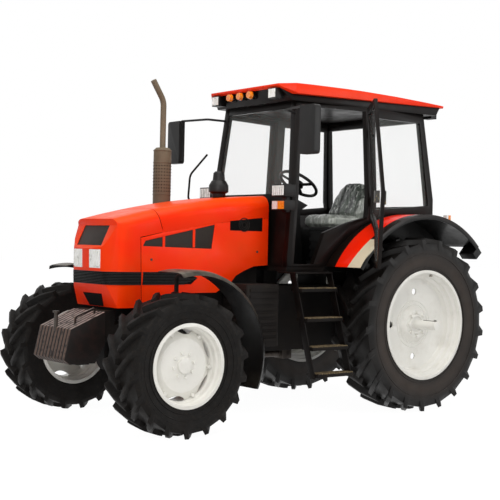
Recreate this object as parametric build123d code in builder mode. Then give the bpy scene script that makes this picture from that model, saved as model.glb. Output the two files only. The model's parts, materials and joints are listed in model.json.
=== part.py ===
from build123d import *
from math import cos, pi, radians, sin
import os

# Farm tractor. +X forward, +Y to the left, +Z up, millimetres.
# Origin: on the ground, on the mid-plane, straight below the rear axle.

# ---- running gear ----
wheelbase = 2760.0
front_track_half = 912.0
rear_track_half = 872.0
front_tyre_radius = 586.0
front_tyre_width = 418.0
front_lug_height = 42.0
front_lug_count = 18
front_rim_radius = 330.0
front_rim_width = 356.0
front_rim_step = 12.0
rear_tyre_radius = 834.0
rear_tyre_width = 480.0
rear_lug_height = 48.0
rear_lug_count = 21
rear_rim_radius = 508.0
rear_rim_width = 432.0
rear_rim_step = 26.0
rim_wall = 10.0
flange_wall = 9.0
flange_height = 16.0
seat_depth = 4.0
seat_gap = 0.3
shaft_fit = 0.06

# ---- steering ----
kingpin_y = 690.0
kingpin_radius = 58.0
kingpin_half_height = 120.0
yoke_wall = 38.0

# ---- front fenders ----
front_fender_radius = 712.0
front_fender_lip_drop = 44.0
front_fender_wall = 8.0
front_fender_inner_y = 760.0
front_fender_outer_y = 1112.0

# ---- hood ----
hood_half_width = 352.0
hood_shoulder_radius = 105.0
hood_wall = 5.0
hood_rear_x = 1371.0
hood_rear_z = 2020.0
hood_mid_x = 2130.0
hood_mid_z = 1944.0
nose_top_x = wheelbase + 245.0
nose_top_z = 1760.0
nose_seam_x = wheelbase + 5.0
panel_gap = 7.0
hood_bottom_z = 1020.0

# ---- cab ----
floor_z = 1366.0
floor_thickness = 40.0
cab_waist_z = 2050.0
cab_top_z = 2900.0
cab_wall = 50.0
arch_radius = 1055.0
arch_wall = 8.0
arch_inner_y = 590.0
fender_outer_y = 1102.0
door_gap = 5.0
door_wall = 32.0
door_overlap = 18.0
door_open_angle = 60.0
glass_wall = 6.0

# ---- roof ----
fascia_bottom_z = 2904.0
roof_edge_front_z = 2957.0
roof_edge_rear_z = 2980.0

front_axle_z = front_tyre_radius
rear_axle_z = rear_tyre_radius

nodes = {}


def left_and_right(part, name):
    """Keep a left piece and its mirror image as two nodes."""
    nodes[name + "_left"] = part
    nodes[name + "_right"] = mirror(part, about=Plane.XZ)


# ------------------------------------------------------------------ wheels
def lugged_tyre(radius, width, rim_radius, rim_width, lug_height, lug_count, axle_x, axle_z, track_half):
    """Farm tyre in flat facets: bore, beads, walls and two rows of slanted lugs."""
    half = width / 2
    bead = (rim_width / 2 - flange_wall - seat_gap) / half
    pitch = 2 * pi / lug_count
    valley = radius - lug_height
    # corners of the lowest lugs reach the ground
    crest = radius / cos(pitch * (0.25 - 0.105))
    # rows from the bore to the middle: share of the half width, radius, lead and half width in pitches
    walls = (
        (bead, (rim_radius - seat_depth) / cos(pitch / 4), 1.02, 0.25),
        (bead, (rim_radius + flange_height + 6) / cos(pitch / 4), 1.02, 0.25),
    )
    feet = (
        (0.985, 0.857 * radius, 1.02, 0.125),
        (0.925, valley - 6, 0.90, 0.150),
        (0.520, valley, 0.50, 0.170),
        (0.000, valley, 0.00, 0.170),
    )
    crests = (
        (0.985, 0.983 * crest, 0.92, 0.095),
        (0.520, crest, 0.50, 0.105),
        (0.000, crest, 0.00, 0.105),
    )
    faces = []

    def panel(*corners):
        """One flat face over a ring of corners."""
        faces.append(Face(Wire.make_polygon(corners, close=True)))

    def facets(*corners):
        """Flat triangles over a ring of corners, fanned from the first."""
        for start, end in zip(corners[1:-1], corners[2:]):
            panel(corners[0], start, end)

    def corner(side, lug, row, edge):
        """Corner of a lug's row: side and edge are -1 or 1."""
        share, r, lead, spread = row
        angle = pitch * (lug + side / 4 + lead + edge * spread) - pi / 2
        return Vector(axle_x + r * cos(angle), track_half + side * share * half, axle_z + r * sin(angle))

    for side in (-1, 1):
        for lug in range(lug_count):
            wall, foot, top = (
                [[corner(side, lug, row, edge) for edge in (-1, 1)] for row in rows] for rows in (walls, feet, crests)
            )
            next_wall = [corner(side, lug + 1, row, -1) for row in walls]
            next_foot = [corner(side, lug + 1, row, -1) for row in feet]
            # bead and wall, below the lug and below the gap behind it
            panel(*wall[0], *wall[1][::-1])
            panel(wall[0][1], next_wall[0], next_wall[1], wall[1][1])
            facets(*wall[1], *foot[0][::-1])
            facets(wall[1][1], next_wall[1], next_foot[0], foot[0][1])
            # lug: both ends, cheeks and crest
            panel(*foot[0], *top[0][::-1])
            panel(*foot[3], *top[2][::-1])
            for edge in (0, 1):
                panel(foot[0][edge], top[0][edge], foot[1][edge])
                for k in (0, 1):
                    facets(foot[k + 1][edge], top[k][edge], top[k + 1][edge], foot[k + 2][edge])
            for k in (0, 1):
                facets(*top[k], *top[k + 1][::-1])
            # gap to the next lug, down to the feet of the other row
            other = [corner(-side, lug + (side + 1) / 2, feet[3], edge) for edge in (-1, 1)]
            facets(foot[0][1], next_foot[0], next_foot[1], foot[1][1])
            facets(foot[1][1], next_foot[1], next_foot[2], foot[2][1])
            panel(other[0], foot[3][1], foot[2][1])
            facets(other[0], foot[2][1], next_foot[2], other[1])
            panel(other[1], next_foot[2], next_foot[3])
            if side == 1:
                across = [corner(-1, lug + 1, walls[0], edge) for edge in (-1, 1)]
                before = corner(-1, lug, walls[0], 1)
                panel(wall[0][0], wall[0][1], across[0], before)
                panel(wall[0][1], next_wall[0], across[1], across[0])
    return Solid(Shell(faces))


def revolved(points, axle_x, axle_z):
    """Solid of revolution about a wheel axis from (y, r) corner points."""
    with BuildPart() as turned:
        with BuildSketch(Plane.YZ.offset(axle_x)):
            with BuildLine():
                Polyline(*[(y, axle_z + r) for y, r in points], close=True)
            make_face()
        revolve(axis=Axis((axle_x, 0, axle_z), (0, 1, 0)))
    return turned.part


def rim_profile(track_half, rim_radius, rim_width, step_drop):
    """Barrel with two flanges that steps down twice to its well, as (y, r) corners."""
    half = rim_width / 2
    seat = rim_radius - seat_depth - seat_gap
    bead = half - flange_wall
    lip = rim_radius + flange_height
    steps = [
        (bead - 40, seat), (bead - 55, seat - step_drop),
        (bead - 95, seat - step_drop), (bead - 110, seat - 2 * step_drop),
    ]
    outside = [(half, lip), (bead, lip), (bead, seat)] + steps
    inside = [(half, seat - rim_wall)] + [(y + 4, r - rim_wall) for y, r in steps]
    corners = outside + [(-y, r) for y, r in outside[::-1]] + [(-y, r) for y, r in inside] + inside[::-1]
    return [(track_half + y, r) for y, r in corners]


front_tyre = lugged_tyre(
    front_tyre_radius, front_tyre_width, front_rim_radius, front_rim_width,
    front_lug_height, front_lug_count, wheelbase, front_axle_z, front_track_half,
)
rear_tyre = lugged_tyre(
    rear_tyre_radius, rear_tyre_width, rear_rim_radius, rear_rim_width,
    rear_lug_height, rear_lug_count, 0, rear_axle_z, rear_track_half,
)

front_dish_y = 1005.0
front_dish_radius = 218.0
front_hub_radius = 150.0
front_hub_inner_y = 812.0
hub_cap_radius = 69.0
front_well_radius = front_rim_radius - seat_depth - seat_gap - 2 * front_rim_step - rim_wall / 2
front_gap_offset = 383.0
front_gap_radius = 133.0
front_gap_angle = 36.0
with BuildPart() as front_rim:
    add(revolved(rim_profile(front_track_half, front_rim_radius, front_rim_width, front_rim_step), wheelbase, front_axle_z))
    add(revolved(
        [
            (front_hub_inner_y, 0), (front_hub_inner_y, front_hub_radius),
            (front_dish_y - 22, front_hub_radius), (front_dish_y - 22, front_dish_radius - 6),
            (front_dish_y - 70, front_well_radius), (front_dish_y - 56, front_well_radius),
            (front_dish_y, front_dish_radius), (front_dish_y, hub_cap_radius),
            (front_dish_y + 26, hub_cap_radius - 6), (front_dish_y + 26, 0),
        ],
        wheelbase, front_axle_z,
    ))
    # crescent gaps between the lobes of the disc
    with BuildSketch(Plane.XZ.offset(-front_dish_y - 10)):
        with Locations((wheelbase, front_axle_z)):
            with PolarLocations(front_gap_offset, 6, start_angle=front_gap_angle):
                Circle(front_gap_radius)
            Circle(front_well_radius - rim_wall / 2, mode=Mode.INTERSECT)
    extrude(amount=100, mode=Mode.SUBTRACT)

rear_dish_y = 925.0
rear_dish_radius = 427.0
rear_hub_radius = 175.0
rear_shaft_radius = 42.0
rear_shaft_end_y = 1230.0
trumpet_end_y = 600.0
rear_well_radius = rear_rim_radius - seat_depth - seat_gap - 2 * rear_rim_step - rim_wall / 2
rear_hole_radius = 30.0
rear_hole_offset = 312.0
with BuildPart() as rear_rim:
    add(revolved(rim_profile(rear_track_half, rear_rim_radius, rear_rim_width, rear_rim_step), 0, rear_axle_z))
    add(revolved(
        [
            (trumpet_end_y + seat_gap, 0), (trumpet_end_y + seat_gap, rear_shaft_radius),
            (rear_dish_y - 90, rear_shaft_radius), (rear_dish_y - 90, rear_hub_radius),
            (rear_dish_y - 14, rear_hub_radius), (rear_dish_y - 14, rear_dish_radius),
            (rear_dish_y + 30, rear_well_radius), (rear_dish_y + 44, rear_well_radius),
            (rear_dish_y, rear_dish_radius), (rear_dish_y, rear_hub_radius),
            (rear_dish_y + 40, rear_hub_radius - 40), (rear_dish_y + 40, rear_shaft_radius),
            (rear_shaft_end_y, rear_shaft_radius), (rear_shaft_end_y, 0),
        ],
        0, rear_axle_z,
    ))
    with BuildSketch(Plane.XZ.offset(-rear_dish_y - 10)):
        with Locations((0, rear_axle_z)):
            with PolarLocations(rear_hole_offset, 4):
                Circle(rear_hole_radius)
    extrude(amount=60, mode=Mode.SUBTRACT)

left_and_right(front_tyre, "front_tyre")
left_and_right(rear_tyre, "rear_tyre")
left_and_right(front_rim.part, "front_rim")
left_and_right(rear_rim.part, "rear_rim")

# ------------------------------------------------------------------ front axle
axle_housing_radius = 128.0
axle_tube_radius = 72.0
trunnion_half = 150.0
yoke_root_y = 590.0
yoke_tip_y = 752.0
yoke_half_x = 62.0
yoke_inner_z = kingpin_half_height + seat_gap
with BuildPart() as front_axle:
    with BuildSketch(Plane.XZ):
        with Locations((wheelbase, front_axle_z)):
            Circle(axle_tube_radius)
    extrude(amount=yoke_root_y, both=True)
    with BuildSketch(Plane.YZ.offset(wheelbase - trunnion_half)):
        with Locations((0, front_axle_z)):
            Circle(axle_housing_radius)
    extrude(amount=2 * trunnion_half)
    for side in (-1, 1):
        with Locations((wheelbase, side * (yoke_root_y + 20), front_axle_z)):
            Box(2 * yoke_half_x, 40, 2 * (yoke_inner_z + yoke_wall))
        for up in (-1, 1):
            with Locations((
                wheelbase,
                side * (yoke_root_y + yoke_tip_y) / 2,
                front_axle_z + up * (yoke_inner_z + yoke_wall / 2),
            )):
                Box(2 * yoke_half_x, yoke_tip_y - yoke_root_y, yoke_wall)
nodes["front_axle"] = front_axle.part

hub_flange_radius = 112.0
fender_post_x = wheelbase - 150.0
fender_post_y = 664.0
fender_post_radius = 19.0
fender_centre_x = wheelbase - 70.0
fender_centre_z = front_axle_z + 56.0
fender_post_top = fender_centre_z + front_fender_radius - front_fender_wall - 46
with BuildPart() as knuckle:
    with BuildSketch(Plane.XY.offset(front_axle_z - kingpin_half_height)):
        with Locations((wheelbase, kingpin_y)):
            Circle(kingpin_radius)
    extrude(amount=2 * kingpin_half_height)
    with BuildSketch(Plane.XZ.offset(-kingpin_y)):
        with Locations((wheelbase, front_axle_z)):
            Circle(hub_flange_radius)
    extrude(amount=-(front_hub_inner_y - seat_gap - kingpin_y))
    # arm behind the kingpin that carries the fender post
    with BuildSketch(Plane.XY.offset(front_axle_z - 20)):
        with BuildLine():
            Polyline(
                (wheelbase, kingpin_y + 44), (wheelbase, kingpin_y + 6), (wheelbase - 120, kingpin_y + 6),
                (fender_post_x - 30, fender_post_y - 26), (fender_post_x - 30, fender_post_y + 36),
                (wheelbase - 120, kingpin_y + 44),
                close=True,
            )
        make_face()
    extrude(amount=40)
    with BuildLine():
        post = FilletPolyline(
            (fender_post_x, fender_post_y, front_axle_z),
            (fender_post_x, fender_post_y, fender_post_top),
            (fender_post_x, front_fender_inner_y + 120, fender_post_top),
            radius=60,
        )
    with BuildSketch(Plane(post @ 0, z_dir=post % 0)):
        Circle(fender_post_radius)
    sweep()
left_and_right(knuckle.part, "knuckle")

fender_first_angle = 76.0
fender_last_angle = 204.0
with BuildPart() as front_fender:
    first_radial = (cos(radians(fender_first_angle)), 0, sin(radians(fender_first_angle)))
    first_normal = (first_radial[2], 0, -first_radial[0])
    with BuildSketch(Plane(origin=(fender_centre_x, 0, fender_centre_z), x_dir=(0, 1, 0), z_dir=first_normal)):
        with BuildLine():
            Polyline(
                (front_fender_inner_y, front_fender_radius),
                (front_fender_outer_y - 72, front_fender_radius),
                (front_fender_outer_y - 22, front_fender_radius - 12),
                (front_fender_outer_y, front_fender_radius - front_fender_lip_drop),
                (front_fender_outer_y - front_fender_wall, front_fender_radius - front_fender_lip_drop),
                (front_fender_outer_y - 28, front_fender_radius - 19),
                (front_fender_outer_y - 74, front_fender_radius - front_fender_wall),
                (front_fender_inner_y, front_fender_radius - front_fender_wall),
                close=True,
            )
        make_face()
    revolve(
        axis=Axis((fender_centre_x, 0, fender_centre_z), (0, -1, 0)),
        revolution_arc=fender_last_angle - fender_first_angle,
    )
    bracket_top_z = fender_centre_z + front_fender_radius - front_fender_wall - 3
    bracket_foot_z = fender_post_top + fender_post_radius
    with Locations((fender_post_x, front_fender_inner_y + 70, (bracket_top_z + bracket_foot_z) / 2)):
        Box(70, 100, bracket_top_z - bracket_foot_z)
left_and_right(front_fender.part, "front_fender")

# ------------------------------------------------------------------ power line
frame_half_width = 226.0
frame_bottom_z = front_axle_z + axle_housing_radius + 4
frame_top_z = 862.0
frame_front_x = wheelbase + 180.0
engine_front_x = wheelbase - 360.0
engine_rear_x = 1400.0
engine_top_z = 1480.0
engine_bottom_z = 640.0
sump_depth = 90.0
carrier_front_x = wheelbase + 292.0
carrier_top_z = 980.0
with BuildPart() as front_frame:
    with Locations(((engine_front_x + frame_front_x) / 2, 0, (frame_bottom_z + frame_top_z) / 2)):
        Box(frame_front_x - engine_front_x, 2 * frame_half_width, frame_top_z - frame_bottom_z)
    for x in (wheelbase - trunnion_half - 22, wheelbase + trunnion_half + 22):
        with Locations((x, 0, (front_axle_z - 30 + frame_bottom_z) / 2)):
            Box(44, 200, frame_bottom_z - front_axle_z + 30)
    with Locations(((frame_front_x + carrier_front_x) / 2, 0, (frame_bottom_z + carrier_top_z) / 2)):
        Box(carrier_front_x - frame_front_x, 2 * frame_half_width, carrier_top_z - frame_bottom_z)
nodes["front_frame"] = front_frame.part

weight_count = 10
weight_half_width = 272.0
weight_groove = 5.0
weight_pitch = 2 * weight_half_width / weight_count
weight_groove_depth = 14.0
weight_outline = [
    (carrier_front_x, 975), (carrier_front_x + 322, 838), (carrier_front_x + 379, 588),
    (carrier_front_x + 328, 548), (carrier_front_x + 88, 548), (carrier_front_x, 700),
]
with BuildPart() as front_weights:
    with BuildSketch(Plane.XZ) as core:
        with BuildLine():
            Polyline(*weight_outline, close=True)
        make_face()
        offset(amount=-weight_groove_depth, kind=Kind.INTERSECTION)
    extrude(amount=weight_half_width - weight_groove, both=True)
    for i in range(weight_count):
        plate_y = i * weight_pitch - weight_half_width
        with BuildSketch(Plane.XZ.offset(-plate_y)) as plate:
            with BuildLine():
                Polyline(*weight_outline, close=True)
            make_face()
        extrude(amount=weight_groove - weight_pitch)
nodes["front_weights"] = front_weights.part

with BuildPart() as engine:
    with Locations(((engine_front_x + engine_rear_x) / 2, 0, (engine_top_z + engine_bottom_z) / 2)):
        Box(engine_front_x - engine_rear_x, 2 * frame_half_width, engine_top_z - engine_bottom_z)
    with Locations(((engine_front_x + engine_rear_x) / 2 - 40, 0, engine_bottom_z - sump_depth / 2)):
        Box(820, 300, sump_depth)
nodes["engine"] = engine.part

radiator_rear_x = wheelbase - 235.0
radiator_depth = 95.0
radiator_top_z = 1560.0
with BuildPart() as radiator:
    with Locations((radiator_rear_x + radiator_depth / 2, 0, (frame_top_z + radiator_top_z) / 2)):
        Box(radiator_depth, 560, radiator_top_z - frame_top_z)
nodes["radiator"] = radiator.part

gearbox_rear_x = 300.0
gearbox_half_width = 205.0
gearbox_bottom_z = 560.0
gearbox_top_z = 1180.0
with BuildPart() as gearbox:
    with Locations(((engine_rear_x + gearbox_rear_x) / 2, 0, (gearbox_bottom_z + gearbox_top_z) / 2)):
        Box(engine_rear_x - gearbox_rear_x, 2 * gearbox_half_width, gearbox_top_z - gearbox_bottom_z)
nodes["gearbox"] = gearbox.part

axle_case_half_width = 235.0
axle_case_rear_x = -330.0
axle_case_bottom_z = 560.0
axle_case_top_z = 1150.0
trumpet_radius = 118.0
with BuildPart() as rear_axle:
    with Locations(((gearbox_rear_x + axle_case_rear_x) / 2, 0, (axle_case_bottom_z + axle_case_top_z) / 2)):
        Box(gearbox_rear_x - axle_case_rear_x, 2 * axle_case_half_width, axle_case_top_z - axle_case_bottom_z)
    with BuildSketch(Plane.XZ):
        with Locations((0, rear_axle_z)):
            Circle(trumpet_radius)
    extrude(amount=trumpet_end_y, both=True)

drive_shaft_radius = 34.0
drive_shaft_z = 508.0
transfer_x = gearbox_rear_x + 500
with BuildPart() as drive_shaft:
    with BuildSketch(Plane.YZ.offset(transfer_x)):
        with Locations((0, drive_shaft_z)):
            Circle(drive_shaft_radius)
    extrude(amount=wheelbase - trunnion_half - seat_gap - transfer_x)
    with Locations((transfer_x + 60, 0, (gearbox_bottom_z + drive_shaft_z - 50) / 2)):
        Box(120, 120, gearbox_bottom_z - drive_shaft_z + 50)
nodes["drive_shaft"] = drive_shaft.part

# ------------------------------------------------------------------ hood
hood_section_z = 1900.0


def hood_solid(inset):
    """Hood and nose as one closed body, drawn smaller by the inset."""
    width = hood_half_width - inset
    with BuildPart() as body:
        with BuildSketch(Plane.XZ) as side_view:
            with BuildLine():
                top = ThreePointArc(
                    (hood_rear_x - 200, hood_rear_z + 12), (hood_mid_x, hood_mid_z), (nose_top_x, nose_top_z)
                )
                Polyline(
                    top @ 1, (nose_top_x - 15, 1705), (nose_top_x + 67, 1531), (nose_top_x + 96, 1505),
                    (nose_top_x + 92, 1340), (nose_top_x + 78, 1314), (nose_top_x + 55, 1202),
                    (nose_top_x - 28, 1008), (nose_top_x - 305, 700), (hood_rear_x - 200, 700),
                    top @ 0,
                )
            make_face()
            offset(amount=-inset, kind=Kind.INTERSECTION)
        extrude(amount=hood_half_width + 50, both=True)
        with BuildSketch(Plane.XY.offset(600)):
            with BuildLine():
                Polyline(
                    (hood_rear_x - 400, width), (nose_top_x - 105, width), (nose_top_x - 25, width - 20),
                    (nose_top_x + 40, width - 65), (nose_top_x + 80 - inset, width - 125),
                    (nose_top_x + 105 - inset, 0), (nose_top_x + 80 - inset, -width + 125),
                    (nose_top_x + 40, -width + 65), (nose_top_x - 25, -width + 20),
                    (nose_top_x - 105, -width), (hood_rear_x - 400, -width),
                    close=True,
                )
            make_face()
        extrude(amount=1600, mode=Mode.INTERSECT)
        ridge = body.part.edges().filter_by(GeomType.CIRCLE)
        fillet(ridge, radius=hood_shoulder_radius - inset)
    return body.part


def side_region(points, grow=0, reach=1400):
    """Prism through the tractor from a side-view outline."""
    with BuildPart() as region:
        with BuildSketch(Plane.XZ):
            with BuildLine():
                Polyline(*points, close=True)
            make_face()
            if grow:
                offset(amount=grow, kind=Kind.INTERSECTION)
        extrude(amount=reach, both=True)
    return region.part


# side-view split lines of the hood
seam_top = (nose_seam_x - 33, 2200.0)
seam_mid = (nose_seam_x - 220, 1658.0)
seam_corner = (nose_seam_x + 8, 1611.0)
seam_bottom = (nose_seam_x - 14, 900.0)
window_rear_top = (1983.0, 1748.0)
hood_edge_rear = (hood_rear_x, 1816.0)

outer_hood = hood_solid(0)
inner_hood = hood_solid(hood_wall)
with BuildPart() as hood_shell:
    add(outer_hood)
    add(inner_hood, mode=Mode.SUBTRACT)
    with BuildSketch(Plane.XZ):
        with BuildLine():
            Polyline(
                (hood_rear_x, hood_bottom_z), (nose_top_x - 28, 1008), (nose_top_x + 295, 1008),
                (nose_top_x + 295, 2300), (hood_rear_x, 2300),
                close=True,
            )
        make_face()
    extrude(amount=1000, both=True, mode=Mode.INTERSECT)

nose_outline = [
    seam_top, seam_mid, seam_corner, seam_bottom, (nose_top_x + 395, 900), (nose_top_x + 395, 2200),
]
top_outline = [
    (seam_top[0] - panel_gap, seam_top[1]), (seam_mid[0] - panel_gap, seam_mid[1]),
    window_rear_top, hood_edge_rear, (hood_rear_x, 2200),
]
arch_bottom = [
    (1358, 1379), (1535, 1366), (1651, 1324), (1742, 1279), (1786, 1229), (1960, 1130), (2270, 1128), (2380, 1020),
]
side_outline = [
    (hood_edge_rear[0], hood_edge_rear[1] - 1), (window_rear_top[0], window_rear_top[1] - 1),
    (seam_mid[0] - panel_gap, seam_mid[1] - 1),
    (seam_corner[0] - panel_gap, seam_corner[1] - panel_gap),
    (seam_bottom[0] - panel_gap, seam_bottom[1]), (2400, 900),
] + arch_bottom[::-1] + [(hood_rear_x - 20, 1379)]

nose_hinge = (nose_seam_x - 225, 1835.0)
nose_hinge_y = 150.0
nose_pin_radius = 9.0
nose_arm_width = 24.0
nose_arm_path = [
    nose_hinge, (nose_hinge[0] + 12, nose_hinge[1] - 75), (nose_hinge[0] + 100, nose_hinge[1] - 75),
    (nose_hinge[0] + 122, nose_hinge[1] + 17),
]
side_window = [(2748, 1534), (2722, 1580), (1990, 1738), (2022, 1520)]
with BuildPart() as nose_cowl:
    add(hood_shell.part)
    add(side_region(nose_outline), mode=Mode.INTERSECT)
    with Locations((nose_top_x + 35, 0, 1618)):
        Box(400, 412, 170, mode=Mode.SUBTRACT)
    for side in (-1, 1):
        with Locations((nose_top_x + 85, side * 139, 1420)):
            Box(120, 164, 158, mode=Mode.SUBTRACT)
    for side in (-1, 1):
        with BuildSketch(Plane.XZ.offset(-side * nose_hinge_y + nose_arm_width / 2)):
            with BuildLine():
                Polyline(*nose_arm_path)
            trace(line_width=14)
            with Locations(nose_hinge):
                Circle(17)
        extrude(amount=-nose_arm_width)
    add(outer_hood, mode=Mode.INTERSECT)
    for side in (-1, 1):
        with BuildSketch(Plane.XZ.offset(-side * nose_hinge_y + nose_arm_width)):
            with Locations(nose_hinge):
                Circle(nose_pin_radius + shaft_fit)
        extrude(amount=-2 * nose_arm_width, mode=Mode.SUBTRACT)
nodes["nose_cowl"] = nose_cowl.part

grille_wall = 12.0
bulkhead_wall = 20.0
bulkhead_front_x = wheelbase - 264.0
frame_hood = hood_solid(hood_wall + seat_gap)
with BuildPart() as hood_frame:
    with BuildPart(mode=Mode.PRIVATE) as front_bulkhead:
        with Locations((bulkhead_front_x, 0, (frame_top_z + 2200) / 2)):
            Box(bulkhead_wall, 2 * hood_half_width, 2200 - frame_top_z)
        add(frame_hood, mode=Mode.INTERSECT)
        for side in (-1, 1):
            with Locations((bulkhead_front_x, side * hood_half_width, 1630)):
                Box(2 * bulkhead_wall, 2 * (hood_wall + grille_wall + seat_gap), 260, mode=Mode.SUBTRACT)
        with Locations((bulkhead_front_x, 0, 1210)):
            Box(2 * bulkhead_wall, 500, 560, mode=Mode.SUBTRACT)
        for side in (-1, 1):
            for ear in (-1, 1):
                ear_y = side * nose_hinge_y + ear * (nose_arm_width / 2 + 5)
                with Locations(((bulkhead_front_x + nose_hinge[0] + 14) / 2, ear_y, nose_hinge[1] - 3)):
                    Box(nose_hinge[0] + 14 - bulkhead_front_x, 8, 30)
            with BuildSketch(Plane.XZ.offset(-side * nose_hinge_y + nose_arm_width / 2 + 8)):
                with Locations(nose_hinge):
                    Circle(nose_pin_radius)
            extrude(amount=-nose_arm_width - 16)
    add(front_bulkhead.part)
    with BuildPart(mode=Mode.PRIVATE) as rear_bulkhead:
        with Locations((hood_rear_x + 14, 0, (1385 + 2200) / 2)):
            Box(bulkhead_wall, 2 * hood_half_width, 2200 - 1385)
        add(frame_hood, mode=Mode.INTERSECT)
        with Locations((hood_rear_x + 14, 0, (gearbox_top_z + 1400) / 2)):
            Box(bulkhead_wall, 300, 1400 - gearbox_top_z)
    add(rear_bulkhead.part)
nodes["hood_frame"] = hood_frame.part

with BuildPart() as nose_grille:
    add(inner_hood)
    with Locations((nose_top_x + 35, 0, 1618)):
        Box(400, 412 - 2 * seat_gap, 170 - 2 * seat_gap, mode=Mode.INTERSECT)
    add(hood_solid(24), mode=Mode.SUBTRACT)
nodes["nose_grille"] = nose_grille.part

with BuildPart() as nose_lamps:
    add(outer_hood)
    with Locations(*[(nose_top_x + 85, side * 139, 1420) for side in (-1, 1)]):
        Box(120, 164 - 2 * seat_gap, 158 - 2 * seat_gap, mode=Mode.INTERSECT)
nodes["nose_lamps"] = nose_lamps.part

with BuildPart() as hood_top:
    add(hood_shell.part)
    add(side_region(top_outline), mode=Mode.INTERSECT)
nodes["hood_top"] = hood_top.part

with BuildPart() as side_panel:
    add(hood_shell.part)
    add(side_region(side_outline), mode=Mode.INTERSECT)
    add(side_region(side_window), mode=Mode.SUBTRACT)
    split(bisect_by=Plane.XZ.offset(-100), keep=Keep.BOTTOM)
left_and_right(side_panel.part, "side_panel")

# side grilles fill the panel windows
with BuildPart() as side_grilles:
    for side in (-1, 1):
        with Locations((2400, side * (hood_half_width - hood_wall - grille_wall / 2), 1600)):
            Box(1200, grille_wall, 500)
    add(side_region(side_window, grow=10), mode=Mode.INTERSECT)
nodes["side_grilles"] = side_grilles.part

# ------------------------------------------------------------------ engine fittings
exhaust_x = 2036.0
exhaust_y = -442.0
muffler_radius = 84.0
muffler_bottom_z = 1880.0
muffler_top_z = 2462.0
pipe_radius = 28.0
exhaust_entry_z = 1640.0
with BuildPart() as exhaust:
    with BuildSketch(Plane.XY.offset(muffler_bottom_z)):
        with Locations((exhaust_x, exhaust_y)):
            Circle(muffler_radius)
    extrude(amount=muffler_top_z - muffler_bottom_z)
    chamfer(exhaust.edges().filter_by(GeomType.CIRCLE), length=22)
    with BuildLine():
        stack = FilletPolyline(
            (exhaust_x, exhaust_y, muffler_top_z - 5), (exhaust_x, exhaust_y, 2905),
            (exhaust_x + 120, exhaust_y, 3090), radius=160,
        )
    with BuildSketch(Plane(stack @ 0, z_dir=stack % 0)):
        Circle(pipe_radius)
    sweep()
    with BuildLine():
        riser = FilletPolyline(
            (exhaust_x, exhaust_y, muffler_bottom_z + 5), (exhaust_x, exhaust_y, exhaust_entry_z),
            (exhaust_x, -hood_half_width - seat_gap, exhaust_entry_z), radius=60,
        )
    with BuildSketch(Plane(riser @ 0, z_dir=riser % 0)):
        Circle(pipe_radius + 14)
    sweep()
nodes["exhaust"] = exhaust.part

precleaner_x = 1694.0
with BuildPart() as air_precleaner:
    with BuildSketch(Plane.XZ):
        with BuildLine():
            Polyline(
                (precleaner_x, 1999), (precleaner_x + 62, 1999), (precleaner_x + 66, 2035),
                (precleaner_x + 92, 2050), (precleaner_x + 92, 2110), (precleaner_x + 70, 2150),
                (precleaner_x + 58, 2160), (precleaner_x + 52, 2226), (precleaner_x + 36, 2242),
                (precleaner_x, 2246), close=True,
            )
        make_face()
    revolve(axis=Axis((precleaner_x, 0, 0), (0, 0, 1)))
    add(outer_hood, mode=Mode.SUBTRACT)
nodes["air_precleaner"] = air_precleaner.part

box_outer_y = 600.0
box_front_x = 1800.0
box_rear_x = 1425.0
box_bottom_z = 650.0
box_top_z = 1210.0
for box_name, side in (("battery_box", 1), ("fuel_tank", -1)):
    with BuildPart() as side_box:
        with Locations((
            (box_front_x + box_rear_x) / 2,
            side * (frame_half_width + seat_gap + box_outer_y) / 2,
            (box_bottom_z + box_top_z) / 2,
        )):
            Box(box_front_x - box_rear_x, box_outer_y - frame_half_width - seat_gap, box_top_z - box_bottom_z)
        fillet(side_box.edges().filter_by(Axis.Z), radius=26)
    nodes[box_name] = side_box.part

# ------------------------------------------------------------------ cab
# level, then x and half-width at the front, middle and rear pillars
cab_levels = (
    (floor_z, 1330, 575, 425, 700, -450, 740),
    (cab_waist_z, 1306, 605, 412, 737, -405, 775),
    (cab_top_z, 1226, 532, 400, 682, -318, 700),
)


def cab_solid(inset):
    """Cab body as a closed solid whose walls stand in by the inset."""
    with BuildPart() as body:
        for z, front_x, front_y, mid_x, mid_y, rear_x, rear_y in cab_levels:
            with BuildSketch(Plane.XY.offset(z)):
                with BuildLine():
                    Polyline(
                        (front_x, front_y), (mid_x, mid_y), (rear_x, rear_y),
                        (rear_x, -rear_y), (mid_x, -mid_y), (front_x, -front_y), close=True,
                    )
                make_face()
                if inset:
                    offset(amount=-inset, kind=Kind.INTERSECTION)
        loft(ruled=True)
    return body.part


def wheel_drum(radius, inner_y, reach=1400):
    """Both wheel arches as cylinders about the rear axle."""
    with BuildPart() as drums:
        for side in (-1, 1):
            with BuildSketch(Plane.XZ.offset(-side * inner_y)):
                with Locations((0, rear_axle_z)):
                    Circle(radius)
            extrude(amount=-side * (reach - inner_y))
    return drums.part


door_front = ((1255, 1396), (1236, cab_waist_z), (1160, 2862))
door_rear_x = 458.0
# the lower rear edge rides over the rear fender when the door swings out
door_step = ((door_rear_x, 1848), (690, 1784), (930, 1690), (1036, 1396))


def door_prism(grow):
    """Door outline as a prism across the cab, larger by the given border."""
    with BuildPart() as prism:
        with BuildSketch(Plane.XZ):
            with BuildLine():
                Polyline(*door_front, (door_rear_x, 2862), door_step[0])
                ThreePointArc(door_step[0], door_step[1], door_step[2])
                Polyline(door_step[2], door_step[3], door_front[0])
            make_face()
            if grow:
                offset(amount=grow, kind=Kind.INTERSECTION)
        extrude(amount=1400, both=True)
    return prism.part


quarter_window = [(352, 1925), (352, 2810), (-262, 2810), (-330, 2060), (-340, 1990)]
windscreen_outline = [
    (-540, 2045), (540, 2045), (545, cab_waist_z), (475, 2840), (-475, 2840), (-545, cab_waist_z),
]
rear_window_outline = [(-690, 1985), (690, 1985), (640, 2820), (-640, 2820)]


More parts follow.
